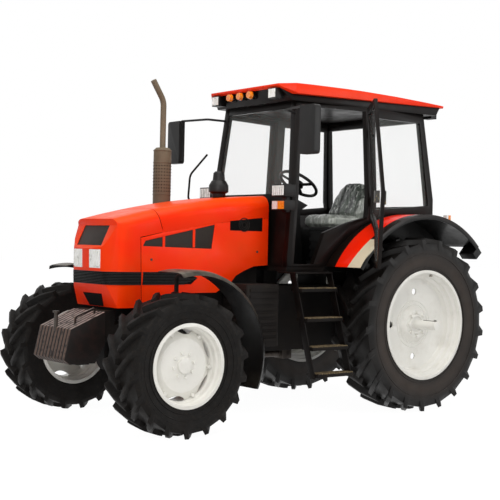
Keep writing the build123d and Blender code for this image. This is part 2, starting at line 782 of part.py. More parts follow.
def end_region(points, x0, x1):
    """Prism along the tractor from an end-view outline."""
    with BuildPart() as region:
        with BuildSketch(Plane.YZ.offset(x0)):
            with BuildLine():
                Polyline(*points, close=True)
            make_face()
        extrude(amount=x1 - x0)
    return region.part


outer_cab = cab_solid(0)
arch_cut = wheel_drum(arch_radius + seat_gap, arch_inner_y - seat_gap)
with BuildPart() as cab_shell:
    add(outer_cab)
    add(cab_solid(cab_wall), mode=Mode.SUBTRACT)
    add(arch_cut, mode=Mode.SUBTRACT)
    add(door_prism(0), mode=Mode.SUBTRACT)
    add(side_region(quarter_window), mode=Mode.SUBTRACT)
    add(end_region(windscreen_outline, 700, 1500), mode=Mode.SUBTRACT)
    add(end_region(rear_window_outline, -900, -200), mode=Mode.SUBTRACT)

hinge_x = 424.0
hinge_y = 762.0
hinge_radius = 11.0
hinge_height = 60.0
hinge_levels = (1985.0, 2640.0)
bracket_height = 26.0


def hinge_strap(z, height, strap_end):
    """Door hinge barrel with the strap that ties it to a leaf or a pillar."""
    with BuildPart() as strap:
        with BuildSketch(Plane.XY.offset(z)):
            with Locations((hinge_x, hinge_y)):
                Circle(hinge_radius)
            with BuildLine():
                Polyline(
                    (hinge_x - hinge_radius, 640), (strap_end, 640), (strap_end, hinge_y - 26),
                    (hinge_x + hinge_radius, hinge_y), (hinge_x - hinge_radius, hinge_y), close=True,
                )
            make_face()
        extrude(amount=height)
    return strap.part


post_width = 65.0
inner_side = [
    (575 - post_width, floor_z - 1), (605 - post_width, cab_waist_z), (532 - post_width, cab_top_z + 1),
]
end_outline = inner_side + [(-y, z) for y, z in reversed(inner_side)]
with BuildPart() as cab_sides:
    add(cab_shell.part)
    add(end_region(end_outline, -900, 1500), mode=Mode.SUBTRACT)
    with BuildPart(mode=Mode.PRIVATE) as hinge_brackets:
        for level in hinge_levels:
            add(hinge_strap(level - bracket_height - seat_gap, bracket_height, hinge_x + hinge_radius))
        add(outer_cab, mode=Mode.SUBTRACT)
    add(hinge_brackets.part)
    add(mirror(hinge_brackets.part, about=Plane.XZ))
nodes["cab_sides"] = cab_sides.part
with BuildPart() as cab_ends:
    add(cab_shell.part)
    add(end_region(end_outline, -900, 1500), mode=Mode.INTERSECT)
nodes["cab_ends"] = cab_ends.part

with BuildPart() as cab_floor:
    with BuildSketch(Plane.XY.offset(floor_z - floor_thickness)):
        with BuildLine():
            z, front_x, front_y, mid_x, mid_y, rear_x, rear_y = cab_levels[0]
            Polyline(
                (front_x, front_y), (mid_x, mid_y), (rear_x, rear_y),
                (rear_x, -rear_y), (mid_x, -mid_y), (front_x, -front_y), close=True,
            )
        make_face()
    extrude(amount=floor_thickness)
    add(arch_cut, mode=Mode.SUBTRACT)
    # mounts down to the gearbox and the axle case
    for x, top in ((1150, gearbox_top_z), (500, gearbox_top_z), (70, axle_case_top_z)):
        with Locations((x, 0, (top + floor_z - floor_thickness) / 2)):
            Box(160, 260, floor_z - floor_thickness - top)
nodes["cab_floor"] = cab_floor.part

glass_outer = cab_solid(18)
glass_inner = cab_solid(18 + glass_wall)
with BuildPart() as cab_glass:
    add(glass_outer)
    add(glass_inner, mode=Mode.SUBTRACT)
    panes = end_region(windscreen_outline, 700, 1500) + end_region(rear_window_outline, -900, -200)
    panes = panes + side_region(quarter_window)
    add(panes, mode=Mode.INTERSECT)
nodes["cab_glass"] = cab_glass.part

# ------------------------------------------------------------------ doors
leaf_border = 46.0
leaf_inner = cab_solid(-door_gap)
leaf_outer = cab_solid(-door_gap - door_wall)
pane_inner = cab_solid(-door_gap - 12)
pane_outer = cab_solid(-door_gap - 12 - glass_wall)
left_half = side_region([(0, 1000), (2000, 1000), (2000, 3200), (0, 3200)])
with BuildPart() as door_leaf:
    add(leaf_outer)
    add(leaf_inner, mode=Mode.SUBTRACT)
    add(door_prism(door_overlap), mode=Mode.INTERSECT)
    add(door_prism(-leaf_border), mode=Mode.SUBTRACT)
    split(bisect_by=Plane.XZ.offset(-100), keep=Keep.BOTTOM)
with BuildPart() as door_pane:
    add(pane_outer)
    add(pane_inner, mode=Mode.SUBTRACT)
    add(door_prism(-leaf_border), mode=Mode.INTERSECT)
    split(bisect_by=Plane.XZ.offset(-100), keep=Keep.BOTTOM)
with BuildPart() as door_leaf_hinged:
    add(door_leaf.part)
    for level in hinge_levels:
        add(hinge_strap(level, hinge_height, hinge_x + 50))
    add(leaf_inner, mode=Mode.SUBTRACT)
hinge_axis = Axis((hinge_x, hinge_y, 0), (0, 0, 1))
nodes["door_left"] = door_leaf_hinged.part.rotate(hinge_axis, door_open_angle)
nodes["door_glass_left"] = door_pane.part.rotate(hinge_axis, door_open_angle)
nodes["door_right"] = mirror(door_leaf_hinged.part, about=Plane.XZ)
nodes["door_glass_right"] = mirror(door_pane.part, about=Plane.XZ)

# ------------------------------------------------------------------ roof
roof_rear_x = -500.0


def roof_edge_z(x):
    """Height of the seam between fascia and roof cap."""
    fall = (roof_edge_rear_z - roof_edge_front_z) / (roof_rear_x - 1300)
    return roof_edge_front_z + fall * (x - 1300) if x < 1300 else roof_edge_front_z + 0.568 * (x - 1300)


with BuildPart() as roof_fascia:
    with BuildSketch(Plane.XZ):
        with BuildLine():
            Polyline(
                (1300, cab_top_z), (1398, roof_edge_z(1398)), (1300, roof_edge_front_z),
                (roof_rear_x, roof_edge_rear_z), (-455, cab_top_z), close=True,
            )
        make_face()
    extrude(amount=900, both=True)
    with BuildSketch(Plane.XY.offset(2800)):
        with BuildLine():
            Polyline(
                (1400, 500), (1290, 575), (-500, 752), (-500, -752), (1290, -575), (1400, -500), close=True,
            )
        make_face()
    extrude(amount=400, mode=Mode.INTERSECT)
nodes["roof_fascia"] = roof_fascia.part

with BuildPart() as roof_cap:
    with BuildSketch(Plane.XZ):
        with BuildLine():
            under = Polyline(
                (1425, roof_edge_z(1425)), (1300, roof_edge_front_z), (roof_rear_x, roof_edge_rear_z), (-565, 2982),
            )
            Line(under @ 1, (-565, 2996))
            ThreePointArc((-565, 2996), (520, 3048), (1425, 3046))
            Line((1425, 3046), under @ 0)
        make_face()
    extrude(amount=900, both=True)
    with BuildSketch(Plane.XY.offset(2800)):
        with BuildLine():
            Polyline(
                (1425, 515), (1310, 640), (-525, 778), (-565, 735),
                (-565, -735), (-525, -778), (1310, -640), (1425, -515), close=True,
            )
        make_face()
    extrude(amount=400, mode=Mode.INTERSECT)
nodes["roof_cap"] = roof_cap.part

# ------------------------------------------------------------------ rear fenders
fender_front_angle = 31.0
fender_rear_angle = 134.0
fender_lip = 46.0


def fender_arc(outer, inner, y0, y1, start=fender_front_angle, end=fender_rear_angle):
    """Part of a ring about the rear axle between two side planes."""
    reach = 3000
    corners = [(reach * cos(radians(a)), rear_axle_z + reach * sin(radians(a))) for a in (start, (start + end) / 2, end)]
    with BuildPart() as arc:
        with BuildSketch(Plane.XZ.offset(-y0)):
            with Locations((0, rear_axle_z)):
                Circle(outer)
                if inner:
                    Circle(inner, mode=Mode.SUBTRACT)
            with BuildLine():
                Polyline((0, rear_axle_z), *corners, close=True)
            make_face(mode=Mode.INTERSECT)
        extrude(amount=y0 - y1)
    return arc.part


with BuildPart() as rear_fender:
    add(fender_arc(arch_radius, arch_radius - arch_wall, arch_inner_y, fender_outer_y))
    add(fender_arc(arch_radius - arch_wall, arch_radius - fender_lip, fender_outer_y - arch_wall, fender_outer_y))
    with BuildPart(mode=Mode.PRIVATE) as inner_wall:
        add(fender_arc(arch_radius - arch_wall, 0, arch_inner_y, arch_inner_y + arch_wall))
        split(bisect_by=Plane.XY.offset(floor_z - floor_thickness), keep=Keep.TOP)
    add(inner_wall.part)
with BuildPart() as rear_fenders:
    add(rear_fender.part)
    add(mirror(rear_fender.part, about=Plane.XZ))
nodes["rear_fenders"] = rear_fenders.part

# ------------------------------------------------------------------ ladders
ladder_front_x = 1400.0
ladder_rear_x = 948.0
ladder_wall = 10.0
ladder_top_y = 742.0
ladder_foot_y = 1036.0
ladder_top_z = floor_z - floor_thickness - 14
ladder_foot_z = 395.0
step_levels = (1168.0, 905.0, 655.0, 425.0)
step_depth = 150.0
step_thickness = 30.0
with BuildPart() as ladder:
    with Locations(((ladder_front_x + ladder_rear_x) / 2, (540 + ladder_top_y + 45) / 2, ladder_top_z + 7)):
        Box(ladder_front_x - ladder_rear_x, ladder_top_y + 45 - 540, 14)
    for x in (ladder_rear_x, ladder_front_x - ladder_wall):
        with BuildSketch(Plane.YZ.offset(x)):
            with BuildLine():
                Polyline(
                    (ladder_top_y - 38, ladder_top_z), (ladder_top_y + 38, ladder_top_z),
                    (ladder_foot_y + 38, ladder_foot_z), (ladder_foot_y - 38, ladder_foot_z), close=True,
                )
            make_face()
        extrude(amount=ladder_wall)
    slope = (ladder_foot_y - ladder_top_y) / (ladder_top_z - ladder_foot_z)
    for level in step_levels:
        with Locations((
            (ladder_front_x + ladder_rear_x) / 2, ladder_top_y + slope * (ladder_top_z - level), level,
        )):
            Box(ladder_front_x - ladder_rear_x - 2 * ladder_wall, step_depth, step_thickness)
with BuildPart() as ladders:
    add(ladder.part)
    add(mirror(ladder.part, about=Plane.XZ))
nodes["ladders"] = ladders.part

# ------------------------------------------------------------------ cab fittings
mirror_x = 1481.0
mirror_y = 1025.0
mirror_z = 2585.0
with BuildPart() as mirror_left:
    with BuildLine():
        arm = FilletPolyline(
            (1215, 520, 2790), (1400, 600, 2800), (mirror_x, mirror_y - 60, 2800),
            (mirror_x, mirror_y - 60, 2480), radius=40,
        )
    with BuildSketch(Plane(arm @ 0, z_dir=arm % 0)):
        Circle(11)
    sweep()
    with Locations((mirror_x, mirror_y, mirror_z)):
        Box(70, 200, 430)
    fillet(mirror_left.edges().filter_by(Axis.X).group_by(SortBy.LENGTH)[-1], radius=30)
    add(outer_cab, mode=Mode.SUBTRACT)
with BuildPart() as mirrors:
    add(mirror_left.part)
    add(mirror(mirror_left.part, about=Plane.XZ))
nodes["mirrors"] = mirrors.part

with BuildPart() as work_lamps:
    for side in (-1, 1):
        with Locations((1385, side * 434, 2962)):
            Box(90, 118, 96)
        with Locations((-520, side * 600, 2925)):
            Box(80, 118, 90)
        with Locations((1370, side * 560, 2065)):
            Box(130, 190, 110)
        with Locations((1370, side * 560, 1932)):
            Box(130, 180, 90)
        with Locations((1335, side * 560, 2000)):
            Box(50, 60, 260)
    with Locations(*[(1385, y, 2975) for y in (-210, -55, 100)]):
        Cylinder(radius=34, height=70, rotation=(0, 90, 0))
    add(roof_fascia.part, mode=Mode.SUBTRACT)
    add(roof_cap.part, mode=Mode.SUBTRACT)
    add(outer_cab, mode=Mode.SUBTRACT)
nodes["work_lamps"] = work_lamps.part

with BuildPart() as tail_lamps:
    tail_lamp = fender_arc(arch_radius, arch_radius - 100, 905, 1092, fender_rear_angle, fender_rear_angle + 4.5)
    add(tail_lamp)
    add(mirror(tail_lamp, about=Plane.XZ))
nodes["tail_lamps"] = tail_lamps.part

with BuildPart() as seat:
    with Locations((330, 0, (floor_z + 1590) / 2)):
        Box(340, 320, 1590 - floor_z)
    with Locations((350, 0, 1640)):
        Box(580, 520, 100)
    with BuildSketch(Plane.XZ):
        with BuildLine():
            Polyline((130, 1640), (10, 1640), (-130, 2250), (-30, 2250), close=True)
        make_face()
    extrude(amount=250, both=True)
nodes["seat"] = seat.part

wheel_centre = (706.0, 2178.0)
wheel_tilt = 35.0
steering_wheel_radius = 212.0
wheel_plane = Plane(
    (wheel_centre[0], 0, wheel_centre[1]), x_dir=(0, 1, 0),
    z_dir=(-sin(radians(wheel_tilt)), 0, cos(radians(wheel_tilt))),
)
column_length = 118.0
with BuildPart() as dashboard:
    with BuildSketch(wheel_plane.offset(-column_length - seat_gap)):
        Circle(33)
    extrude(amount=-180)
    with BuildSketch(Plane.XZ):
        with BuildLine():
            Polyline(
                (1250, floor_z), (820, floor_z), (860, 1900), (760, 1960), (1000, 2050), (1230, 1990), close=True,
            )
        make_face()
    extrude(amount=210, both=True)
    with Locations((330, -500, (floor_z + 1760) / 2)):
        Box(700, 150, 1760 - floor_z)
nodes["dashboard"] = dashboard.part

with BuildPart() as steering_wheel:
    with BuildSketch(wheel_plane.offset(-14)):
        Circle(steering_wheel_radius)
        Circle(steering_wheel_radius - 28, mode=Mode.SUBTRACT)
        Rectangle(2 * steering_wheel_radius - 30, 40)
        Circle(55)
    extrude(amount=28)
    with BuildSketch(wheel_plane.offset(-14)):
        Circle(26)
    extrude(amount=14 - column_length)
nodes["steering_wheel"] = steering_wheel.part

# ------------------------------------------------------------------ rear linkage
link_pivot_x = -120.0
link_pivot_z = 500.0
link_ball_x = -1010.0
link_ball_z = 520.0
link_bore = 14.35
link_pin_radius = 18.0
link_inner_y = 262.0
link_outer_y = 412.0
lift_point = 0.52
drawbar_pin_x = -770.0
drawbar_bore = 16.5
drawbar_thickness = 36.0
drawbar_top_z = 453.0
pto_z = 700.0
pto_radius = 17.45
rocker_x = -250.0
rocker_z = 1060.0
rocker_radius = 34.0
lift_arm_reach = 330.0
lift_rod_x = rocker_x - lift_arm_reach
lift_y = 330.0
top_link_x = axle_case_rear_x - 60
top_link_z = 985.0
top_link_reach = 620.0
top_link_drop = 85.0
top_link_bore = 12.75
with BuildPart() as drawbar:
    with Locations(((drawbar_pin_x - 60 - 100) / 2, 0, drawbar_top_z - drawbar_thickness / 2)):
        Box(-100 - drawbar_pin_x + 60, 80, drawbar_thickness)
    with Locations((-252, 0, (drawbar_top_z + axle_case_bottom_z) / 2)):
        Box(150, 120, axle_case_bottom_z - drawbar_top_z)
    with Locations((drawbar_pin_x, 0, drawbar_top_z - drawbar_thickness / 2)):
        Cylinder(radius=drawbar_bore, height=2 * drawbar_thickness, mode=Mode.SUBTRACT)
nodes["drawbar"] = drawbar.part


def link_bar(x0, y0, z0, x1, y1, z1, thickness, height):
    """Straight flat bar between two points, upright in section."""
    with BuildPart() as bar:
        with BuildLine():
            run = Line((x0, y0, z0), (x1, y1, z1))
        with BuildSketch(Plane(run @ 0, x_dir=(0, 0, 1), z_dir=run % 0)):
            Rectangle(height, thickness)
        sweep()
    return bar.part


def eye(x, y, z, outer, width, bore=0):
    """Round boss across the tractor, with a bore if one is given."""
    with BuildPart() as boss:
        with BuildSketch(Plane.XZ.offset(-(y - width / 2))):
            with Locations((x, z)):
                Circle(outer)
                if bore:
                    Circle(bore, mode=Mode.SUBTRACT)
        extrude(amount=-width)
    return boss.part


with BuildPart() as lower_link:
    add(link_bar(link_pivot_x - 30, link_inner_y, link_pivot_z, link_ball_x + 30, link_outer_y, link_ball_z, 26, 76))
    add(eye(link_pivot_x, link_inner_y, link_pivot_z, 44, 40))
    add(eye(link_ball_x, link_outer_y, link_ball_z, 42, 44))
    add(eye(link_pivot_x, link_inner_y, link_pivot_z, link_pin_radius + shaft_fit, 60), mode=Mode.SUBTRACT)
    add(eye(link_ball_x, link_outer_y, link_ball_z, link_bore, 70), mode=Mode.SUBTRACT)
with BuildPart() as lower_links:
    add(lower_link.part)
    add(mirror(lower_link.part, about=Plane.XZ))
nodes["lower_links"] = lower_links.part

with BuildPart() as lift_arms:
    add(eye(rocker_x, 0, rocker_z, rocker_radius, 2 * lift_y - 40))
    for side in (-1, 1):
        add(eye(rocker_x, side * lift_y, rocker_z, 62, 40))
        add(eye(lift_rod_x, side * lift_y, rocker_z - 30, 34, 40))
        add(link_bar(rocker_x, side * lift_y, rocker_z, lift_rod_x, side * lift_y, rocker_z - 30, 26, 60))
        add(eye(lift_rod_x, side * (lift_y + 42), rocker_z - 30, 14, 44))
nodes["lift_arms"] = lift_arms.part

lift_rod_foot_x = lift_rod_x - 3
lift_rod_foot_z = link_pivot_z + (link_ball_z - link_pivot_z) * 0.5 + 62
with BuildPart() as lift_rods:
    for side in (-1, 1):
        y = side * (lift_y + 50)
        add(eye(lift_rod_x, y, rocker_z - 30, 32, 24))
        with BuildLine():
            run = Line((lift_rod_x, y, rocker_z - 55), (lift_rod_foot_x, y, lift_rod_foot_z))
        with BuildSketch(Plane(run @ 0, z_dir=run % 0)):
            Circle(17)
        sweep()
        add(eye(lift_rod_x, y, rocker_z - 30, 14 + shaft_fit, 40), mode=Mode.SUBTRACT)
nodes["lift_rods"] = lift_rods.part

with BuildPart() as top_link:
    with BuildLine():
        run = Line((top_link_x - 20, 0, top_link_z), (top_link_x - top_link_reach, 0, top_link_z - top_link_drop))
    with BuildSketch(Plane(run @ 0, z_dir=run % 0)):
        Circle(19)
    sweep()
    add(eye(top_link_x, 0, top_link_z, 34, 40))
    add(eye(top_link_x, 0, top_link_z, 12.5 + shaft_fit, 60), mode=Mode.SUBTRACT)
    add(eye(top_link_x - top_link_reach, 0, top_link_z - top_link_drop, 34, 44))
    add(eye(top_link_x - top_link_reach, 0, top_link_z - top_link_drop, top_link_bore, 60), mode=Mode.SUBTRACT)
nodes["top_link"] = top_link.part

# what the axle case carries for the linkage
with BuildPart() as rear_axle_dressed:
    add(rear_axle.part)
    with BuildSketch(Plane.YZ.offset(axle_case_rear_x)):
        with Locations((0, pto_z)):
            Circle(pto_radius)
    extrude(amount=-90)
    with Locations((link_pivot_x, 0, (link_pivot_z + axle_case_bottom_z) / 2 - 12)):
        Box(90, 440, axle_case_bottom_z - link_pivot_z + 48)
    add(eye(link_pivot_x, 0, link_pivot_z, link_pin_radius, 2 * link_inner_y + 46))
    add(eye(rocker_x, 0, rocker_z, rocker_radius + 22, 2 * axle_case_half_width + 50))
    add(eye(rocker_x, 0, rocker_z, rocker_radius + shaft_fit, 2 * lift_y), mode=Mode.SUBTRACT)
    for y in (-34, 34):
        with Locations((top_link_x + 25, y, top_link_z)):
            Box(90, 20, 80)
    add(eye(top_link_x, 0, top_link_z, 12.5, 88))
nodes["rear_axle"] = rear_axle_dressed.part

# ------------------------------------------------------------------ export
os.makedirs("parts", exist_ok=True)
for node_name, solid in nodes.items():
    solid.label = node_name
    export_step(solid, f"parts/{node_name}.step")
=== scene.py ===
import json
import math

import bmesh
import bpy
from mathutils import Matrix, Vector, noise

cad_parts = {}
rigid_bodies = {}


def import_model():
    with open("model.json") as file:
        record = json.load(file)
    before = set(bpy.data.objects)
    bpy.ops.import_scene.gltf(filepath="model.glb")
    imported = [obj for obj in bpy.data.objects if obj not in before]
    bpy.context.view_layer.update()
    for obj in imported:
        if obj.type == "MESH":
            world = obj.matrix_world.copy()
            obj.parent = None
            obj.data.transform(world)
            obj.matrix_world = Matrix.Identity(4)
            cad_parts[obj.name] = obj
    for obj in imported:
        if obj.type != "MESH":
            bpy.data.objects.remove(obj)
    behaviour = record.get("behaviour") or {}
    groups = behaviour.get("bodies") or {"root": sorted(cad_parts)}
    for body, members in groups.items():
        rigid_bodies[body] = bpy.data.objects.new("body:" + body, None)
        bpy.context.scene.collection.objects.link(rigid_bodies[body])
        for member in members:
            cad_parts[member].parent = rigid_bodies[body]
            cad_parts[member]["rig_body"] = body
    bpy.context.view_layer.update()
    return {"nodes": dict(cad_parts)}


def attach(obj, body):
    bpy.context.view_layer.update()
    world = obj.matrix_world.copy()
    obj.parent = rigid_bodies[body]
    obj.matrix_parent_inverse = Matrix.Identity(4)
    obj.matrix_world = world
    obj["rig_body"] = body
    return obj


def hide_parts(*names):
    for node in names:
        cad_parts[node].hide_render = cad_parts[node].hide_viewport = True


# Farm tractor: finishes, tyres, trim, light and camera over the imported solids. Metres.
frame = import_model()
nodes = frame["nodes"]

SIDES = (("left", 1), ("right", -1))
# middles of the wheels, forward and up
FRONT_AXLE = (2.760, 0.586)
REAR_AXLE = (0.0, 0.834)


# ------------------------------------------------------------------ materials
def tone(code):
    """Linear colour from six hex digits."""
    values = []
    for i in (0, 2, 4):
        c = int(code[i:i + 2], 16) / 255
        values.append(c / 12.92 if c <= 0.04045 else ((c + 0.055) / 1.055) ** 2.4)
    return (*values, 1.0)


class Finish:
    """One procedural material, built up layer by layer on object coordinates."""

    def __init__(self, name, colour, rough, metallic=0.0, specular=0.5, coat=0.0, coat_rough=0.1):
        self.material = bpy.data.materials.new(name)
        self.material.use_nodes = True
        self.tree = self.material.node_tree
        self.shader = self.tree.nodes["Principled BSDF"]
        self.place = self.tree.nodes.new("ShaderNodeTexCoord").outputs["Object"]
        self.base = colour
        self.rough = rough
        self.height = None
        self.shader.inputs["Base Color"].default_value = colour
        self.shader.inputs["Roughness"].default_value = rough
        self.shader.inputs["Metallic"].default_value = metallic
        self.shader.inputs["Specular IOR Level"].default_value = specular
        self.shader.inputs["Coat Weight"].default_value = coat
        self.shader.inputs["Coat Roughness"].default_value = coat_rough
        self.material.diffuse_color = colour

    def link(self, a, b):
        """Joins an output to an input."""
        self.tree.links.new(a, b)

    def noise(self, scale, detail=4.0, rough=0.55, stretch=(1, 1, 1)):
        """Noise value, stretched along the axes where asked."""
        vector = self.place
        if stretch != (1, 1, 1):
            mapping = self.tree.nodes.new("ShaderNodeMapping")
            mapping.inputs["Scale"].default_value = stretch
            self.link(self.place, mapping.inputs["Vector"])
            vector = mapping.outputs["Vector"]
        node = self.tree.nodes.new("ShaderNodeTexNoise")
        node.inputs["Scale"].default_value = scale
        node.inputs["Detail"].default_value = detail
        node.inputs["Roughness"].default_value = rough
        self.link(vector, node.inputs["Vector"])
        return node.outputs["Fac"]

    def remap(self, value, low, high, to_low=0.0, to_high=1.0):
        """Stretches a span of values to another span and cuts off what lies beyond."""
        node = self.tree.nodes.new("ShaderNodeMapRange")
        keys = ("From Min", "From Max", "To Min", "To Max")
        for key, number in zip(keys, (low, high, to_low, to_high)):
            node.inputs[key].default_value = number
        self.link(value, node.inputs["Value"])
        return node.outputs["Result"]

    def math(self, operation, a, b):
        """One arithmetic step on two sockets or numbers."""
        node = self.tree.nodes.new("ShaderNodeMath")
        node.operation = operation
        for socket, value in zip(node.inputs, (a, b)):
            if isinstance(value, (int, float)):
                socket.default_value = value
            else:
                self.link(value, socket)
        return node.outputs["Value"]

    def axis(self, name):
        """One of the object coordinates, X, Y or Z."""
        node = self.tree.nodes.new("ShaderNodeSeparateXYZ")
        self.link(self.place, node.inputs["Vector"])
        return node.outputs[name]

    def normal(self, name):
        """One part of the surface normal, X, Y or Z."""
        geometry = self.tree.nodes.new("ShaderNodeNewGeometry")
        node = self.tree.nodes.new("ShaderNodeSeparateXYZ")
        self.link(geometry.outputs["Normal"], node.inputs["Vector"])
        return node.outputs[name]

    def facing_up(self):
        """1 on faces that look up, 0 on walls and undersides."""
        return self.remap(self.normal("Z"), 0.2, 0.95)

    def layer(self, mask, colour):
        """Lays a colour over what is there, by a mask from 0 to 1."""
        node = self.tree.nodes.new("ShaderNodeMix")
        node.data_type = "RGBA"
        under = self.shader.inputs["Base Color"]
        if under.is_linked:
            self.link(under.links[0].from_socket, node.inputs["A"])
        else:
            node.inputs["A"].default_value = self.base
        node.inputs["B"].default_value = colour
        self.link(mask, node.inputs["Factor"])
        self.link(node.outputs["Result"], under)
        return self

    def roughness(self, value, low, high):
        """Lets the gloss vary between two levels."""
        self.link(self.remap(value, 0.3, 0.7, low, high), self.shader.inputs["Roughness"])
        return self

    def bump(self, value, distance, strength=1.0):
        """Adds a relief of that depth, in metres."""
        node = self.tree.nodes.new("ShaderNodeBump")
        node.inputs["Distance"].default_value = distance
        node.inputs["Strength"].default_value = strength
        self.link(value, node.inputs["Height"])
        under = self.shader.inputs["Normal"]
        if under.is_linked:
            self.link(under.links[0].from_socket, node.inputs["Normal"])
        self.link(node.outputs["Normal"], under)
        return self


def enamel(name, colour, faded, dust, rough=0.32, coat=0.35, dust_amount=0.35, specular=0.18):
    """Sprayed paint: slow fading, a little orange peel, dust that gathers in patches."""
    f = Finish(name, tone(colour), rough, specular=specular, coat=coat, coat_rough=0.12)
    patches = f.noise(2.2, 3)
    grime = f.noise(7.0, 7, 0.62)
    f.layer(f.remap(patches, 0.38, 0.68, 0.0, 0.55), tone(faded))
    f.layer(f.remap(grime, 0.52, 0.78, 0.0, dust_amount), tone(dust))
    f.roughness(grime, rough - 0.06, rough + 0.16)
    f.bump(f.noise(260, 2), 0.00012)
    return f


hood_paint = enamel(
    "hood_paint", "FF2E00", "FF480A", "C85A2A", rough=0.34, coat=0.06, dust_amount=0.12, specular=0.1
)
# painted highlight: faces that look up are painted a lighter orange, as if lit from above
hood_paint.layer(hood_paint.math("MULTIPLY", hood_paint.facing_up(), 0.6), tone("FF5A10"))
roof_paint = enamel(
    "roof_paint", "F53210", "FA441A", "B0563C", rough=0.36, coat=0.06, dust_amount=0.14, specular=0.12
)
fender_paint = enamel(
    "fender_paint", "FC2000", "FF2E06", "A85038", rough=0.32, coat=0.1, dust_amount=0.1
)
# red on top; inner strip and rolled edge black, a pale patch low on the edge's front; walls and
# undersides painted near-black as painted shade
across = fender_paint.math("ABSOLUTE", fender_paint.axis("Y"), 0.0)
edge = fender_paint.remap(fender_paint.axis("Z"), 1.37, 1.66, 0.93, 1.004)
beyond = fender_paint.math("GREATER_THAN", across, edge)
red_band = fender_paint.math(
    "MULTIPLY", fender_paint.remap(across, 0.767, 0.769), fender_paint.math("SUBTRACT", 1.0, beyond)
)
low_front = fender_paint.math(
    "MULTIPLY", fender_paint.remap(fender_paint.axis("Z"), 1.638, 1.642, 1.0, 0.0),
    fender_paint.remap(fender_paint.axis("X"), 0.3, 0.31),
)
patch = fender_paint.math("MULTIPLY", beyond, low_front)
fender_paint.layer(fender_paint.math("SUBTRACT", 1.0, red_band), tone("120A07"))
fender_paint.layer(patch, tone("D9CDB2"))
# painted shade: faces that look sideways or down go near-black
fender_paint.layer(fender_paint.remap(fender_paint.normal("Z"), 0.02, 0.06, 1.0, 0.0), tone("060504"))
cab_paint = enamel(
    "cab_paint", "0C0807", "130D0A", "2A201A", rough=0.34, coat=0.03, dust_amount=0.2, specular=0.14
)
frame_paint = enamel(
    "frame_paint", "080504", "0E0A08", "342A20", rough=0.5, coat=0.0, dust_amount=0.35, specular=0.12
)
wheel_enamel = enamel(
    "wheel_enamel", "E9E8E2", "F0EFEA", "C2BCAE", rough=0.34, coat=0.2, dust_amount=0.3, specular=0.4
)
fender_black = enamel(
    "fender_black", "080605", "0E0B0A", "2E2822", rough=0.36, coat=0.04, dust_amount=0.2, specular=0.14
)
tops = fender_black.facing_up()
dusty = fender_black.remap(fender_black.noise(9, 6), 0.3, 0.62)
fender_black.layer(fender_black.math("MULTIPLY", tops, dusty), tone("6E675C"))
exhaust_paint = enamel(
    "exhaust_paint", "6C5F4E", "786A58", "453B31", rough=0.5, coat=0.0, dust_amount=0.4
)
tank_paint = enamel("tank_paint", "14100E", "1C1714", "3C342A", rough=0.6, coat=0.0, dust_amount=0.3)

cast_iron = Finish("cast_iron", tone("0B0807"), 0.7, specular=0.2)
cast_iron.layer(cast_iron.remap(cast_iron.noise(4, 6), 0.4, 0.72, 0.0, 0.7), tone("1A1410"))
settled = cast_iron.math("MULTIPLY", cast_iron.facing_up(), cast_iron.noise(14, 5))
cast_iron.layer(settled, tone("3A3228"))
cast_iron.bump(cast_iron.noise(120, 4), 0.0009)

# tops and fronts of the single plates are worn pale, the tops painted lighter than the fronts as a
# painted highlight; the gaps between them stay dark
PLATE_PITCH = 0.0544
PLATE_EDGE = 0.272
weight_iron = Finish("weight_iron", tone("0D0604"), 0.6, specular=0.25)
weight_iron.layer(weight_iron.remap(weight_iron.noise(16, 6), 0.45, 0.7, 0.0, 0.6), tone("24120E"))
from_edge = weight_iron.math("ADD", weight_iron.axis("Y"), PLATE_EDGE)
phase = weight_iron.math("MULTIPLY", from_edge, math.pi / PLATE_PITCH)
wave = weight_iron.math("ABSOLUTE", weight_iron.math("SINE", phase, 0.0), 0.0)
plates = weight_iron.remap(wave, 0.45, 0.75)
worn = weight_iron.remap(weight_iron.noise(22, 6), 0.34, 0.5)
tops = weight_iron.facing_up()
fronts = weight_iron.remap(weight_iron.normal("X"), 0.3, 0.8)
# worn metal, lit and shaded: the pale tops carry a painted highlight, the fronts a dimmer copy
for facing, shade in ((tops, "B3A29B"), (fronts, "5E4A40")):
    mask = weight_iron.math("MULTIPLY", weight_iron.math("MULTIPLY", plates, worn), facing)
    weight_iron.layer(mask, tone(shade))
weight_iron.bump(weight_iron.noise(150, 4), 0.0008)

tyre_rubber = Finish("tyre_rubber", tone("090706"), 0.6, specular=0.16)
tyre_rubber.layer(tyre_rubber.remap(tyre_rubber.noise(5, 6), 0.42, 0.72, 0.0, 0.6), tone("15110E"))
tyre_rubber.layer(tyre_rubber.remap(tyre_rubber.noise(38, 6, 0.65), 0.5, 0.8, 0.0, 0.5), tone("2A231D"))
tyre_rubber.roughness(tyre_rubber.noise(9, 6), 0.48, 0.74)
tyre_rubber.bump(tyre_rubber.noise(190, 3), 0.0005)
# the rear tyres' walls carry a painted sheen, a paler band between bead and tread, by the distance from
# the wheel's middle
rear_rubber = Finish("rear_rubber", tone("090706"), 0.5, specular=0.22)
square = [
    rear_rubber.math("POWER", rear_rubber.math("SUBTRACT", rear_rubber.axis(key), centre), 2.0)
    for key, centre in zip("XZ", REAR_AXLE)
]
reach = rear_rubber.math("SQRT", rear_rubber.math("ADD", *square), 0.0)
past_bead = rear_rubber.remap(reach, 0.50, 0.60)
before_tread = rear_rubber.remap(reach, 0.62, 0.73, 1.0, 0.0)
wall = rear_rubber.math("MULTIPLY", past_bead, before_tread)
rear_rubber.layer(rear_rubber.remap(rear_rubber.noise(5, 6), 0.42, 0.72, 0.0, 0.6), tone("14100D"))
uneven = rear_rubber.remap(rear_rubber.noise(3, 4), 0.3, 0.7, 0.5, 1.0)
# painted sheen on the wall, made uneven by noise
rear_rubber.layer(rear_rubber.math("MULTIPLY", wall, uneven), tone("342B25"))
rear_rubber.roughness(rear_rubber.noise(9, 6), 0.36, 0.6)
rear_rubber.bump(rear_rubber.noise(190, 3), 0.0005)

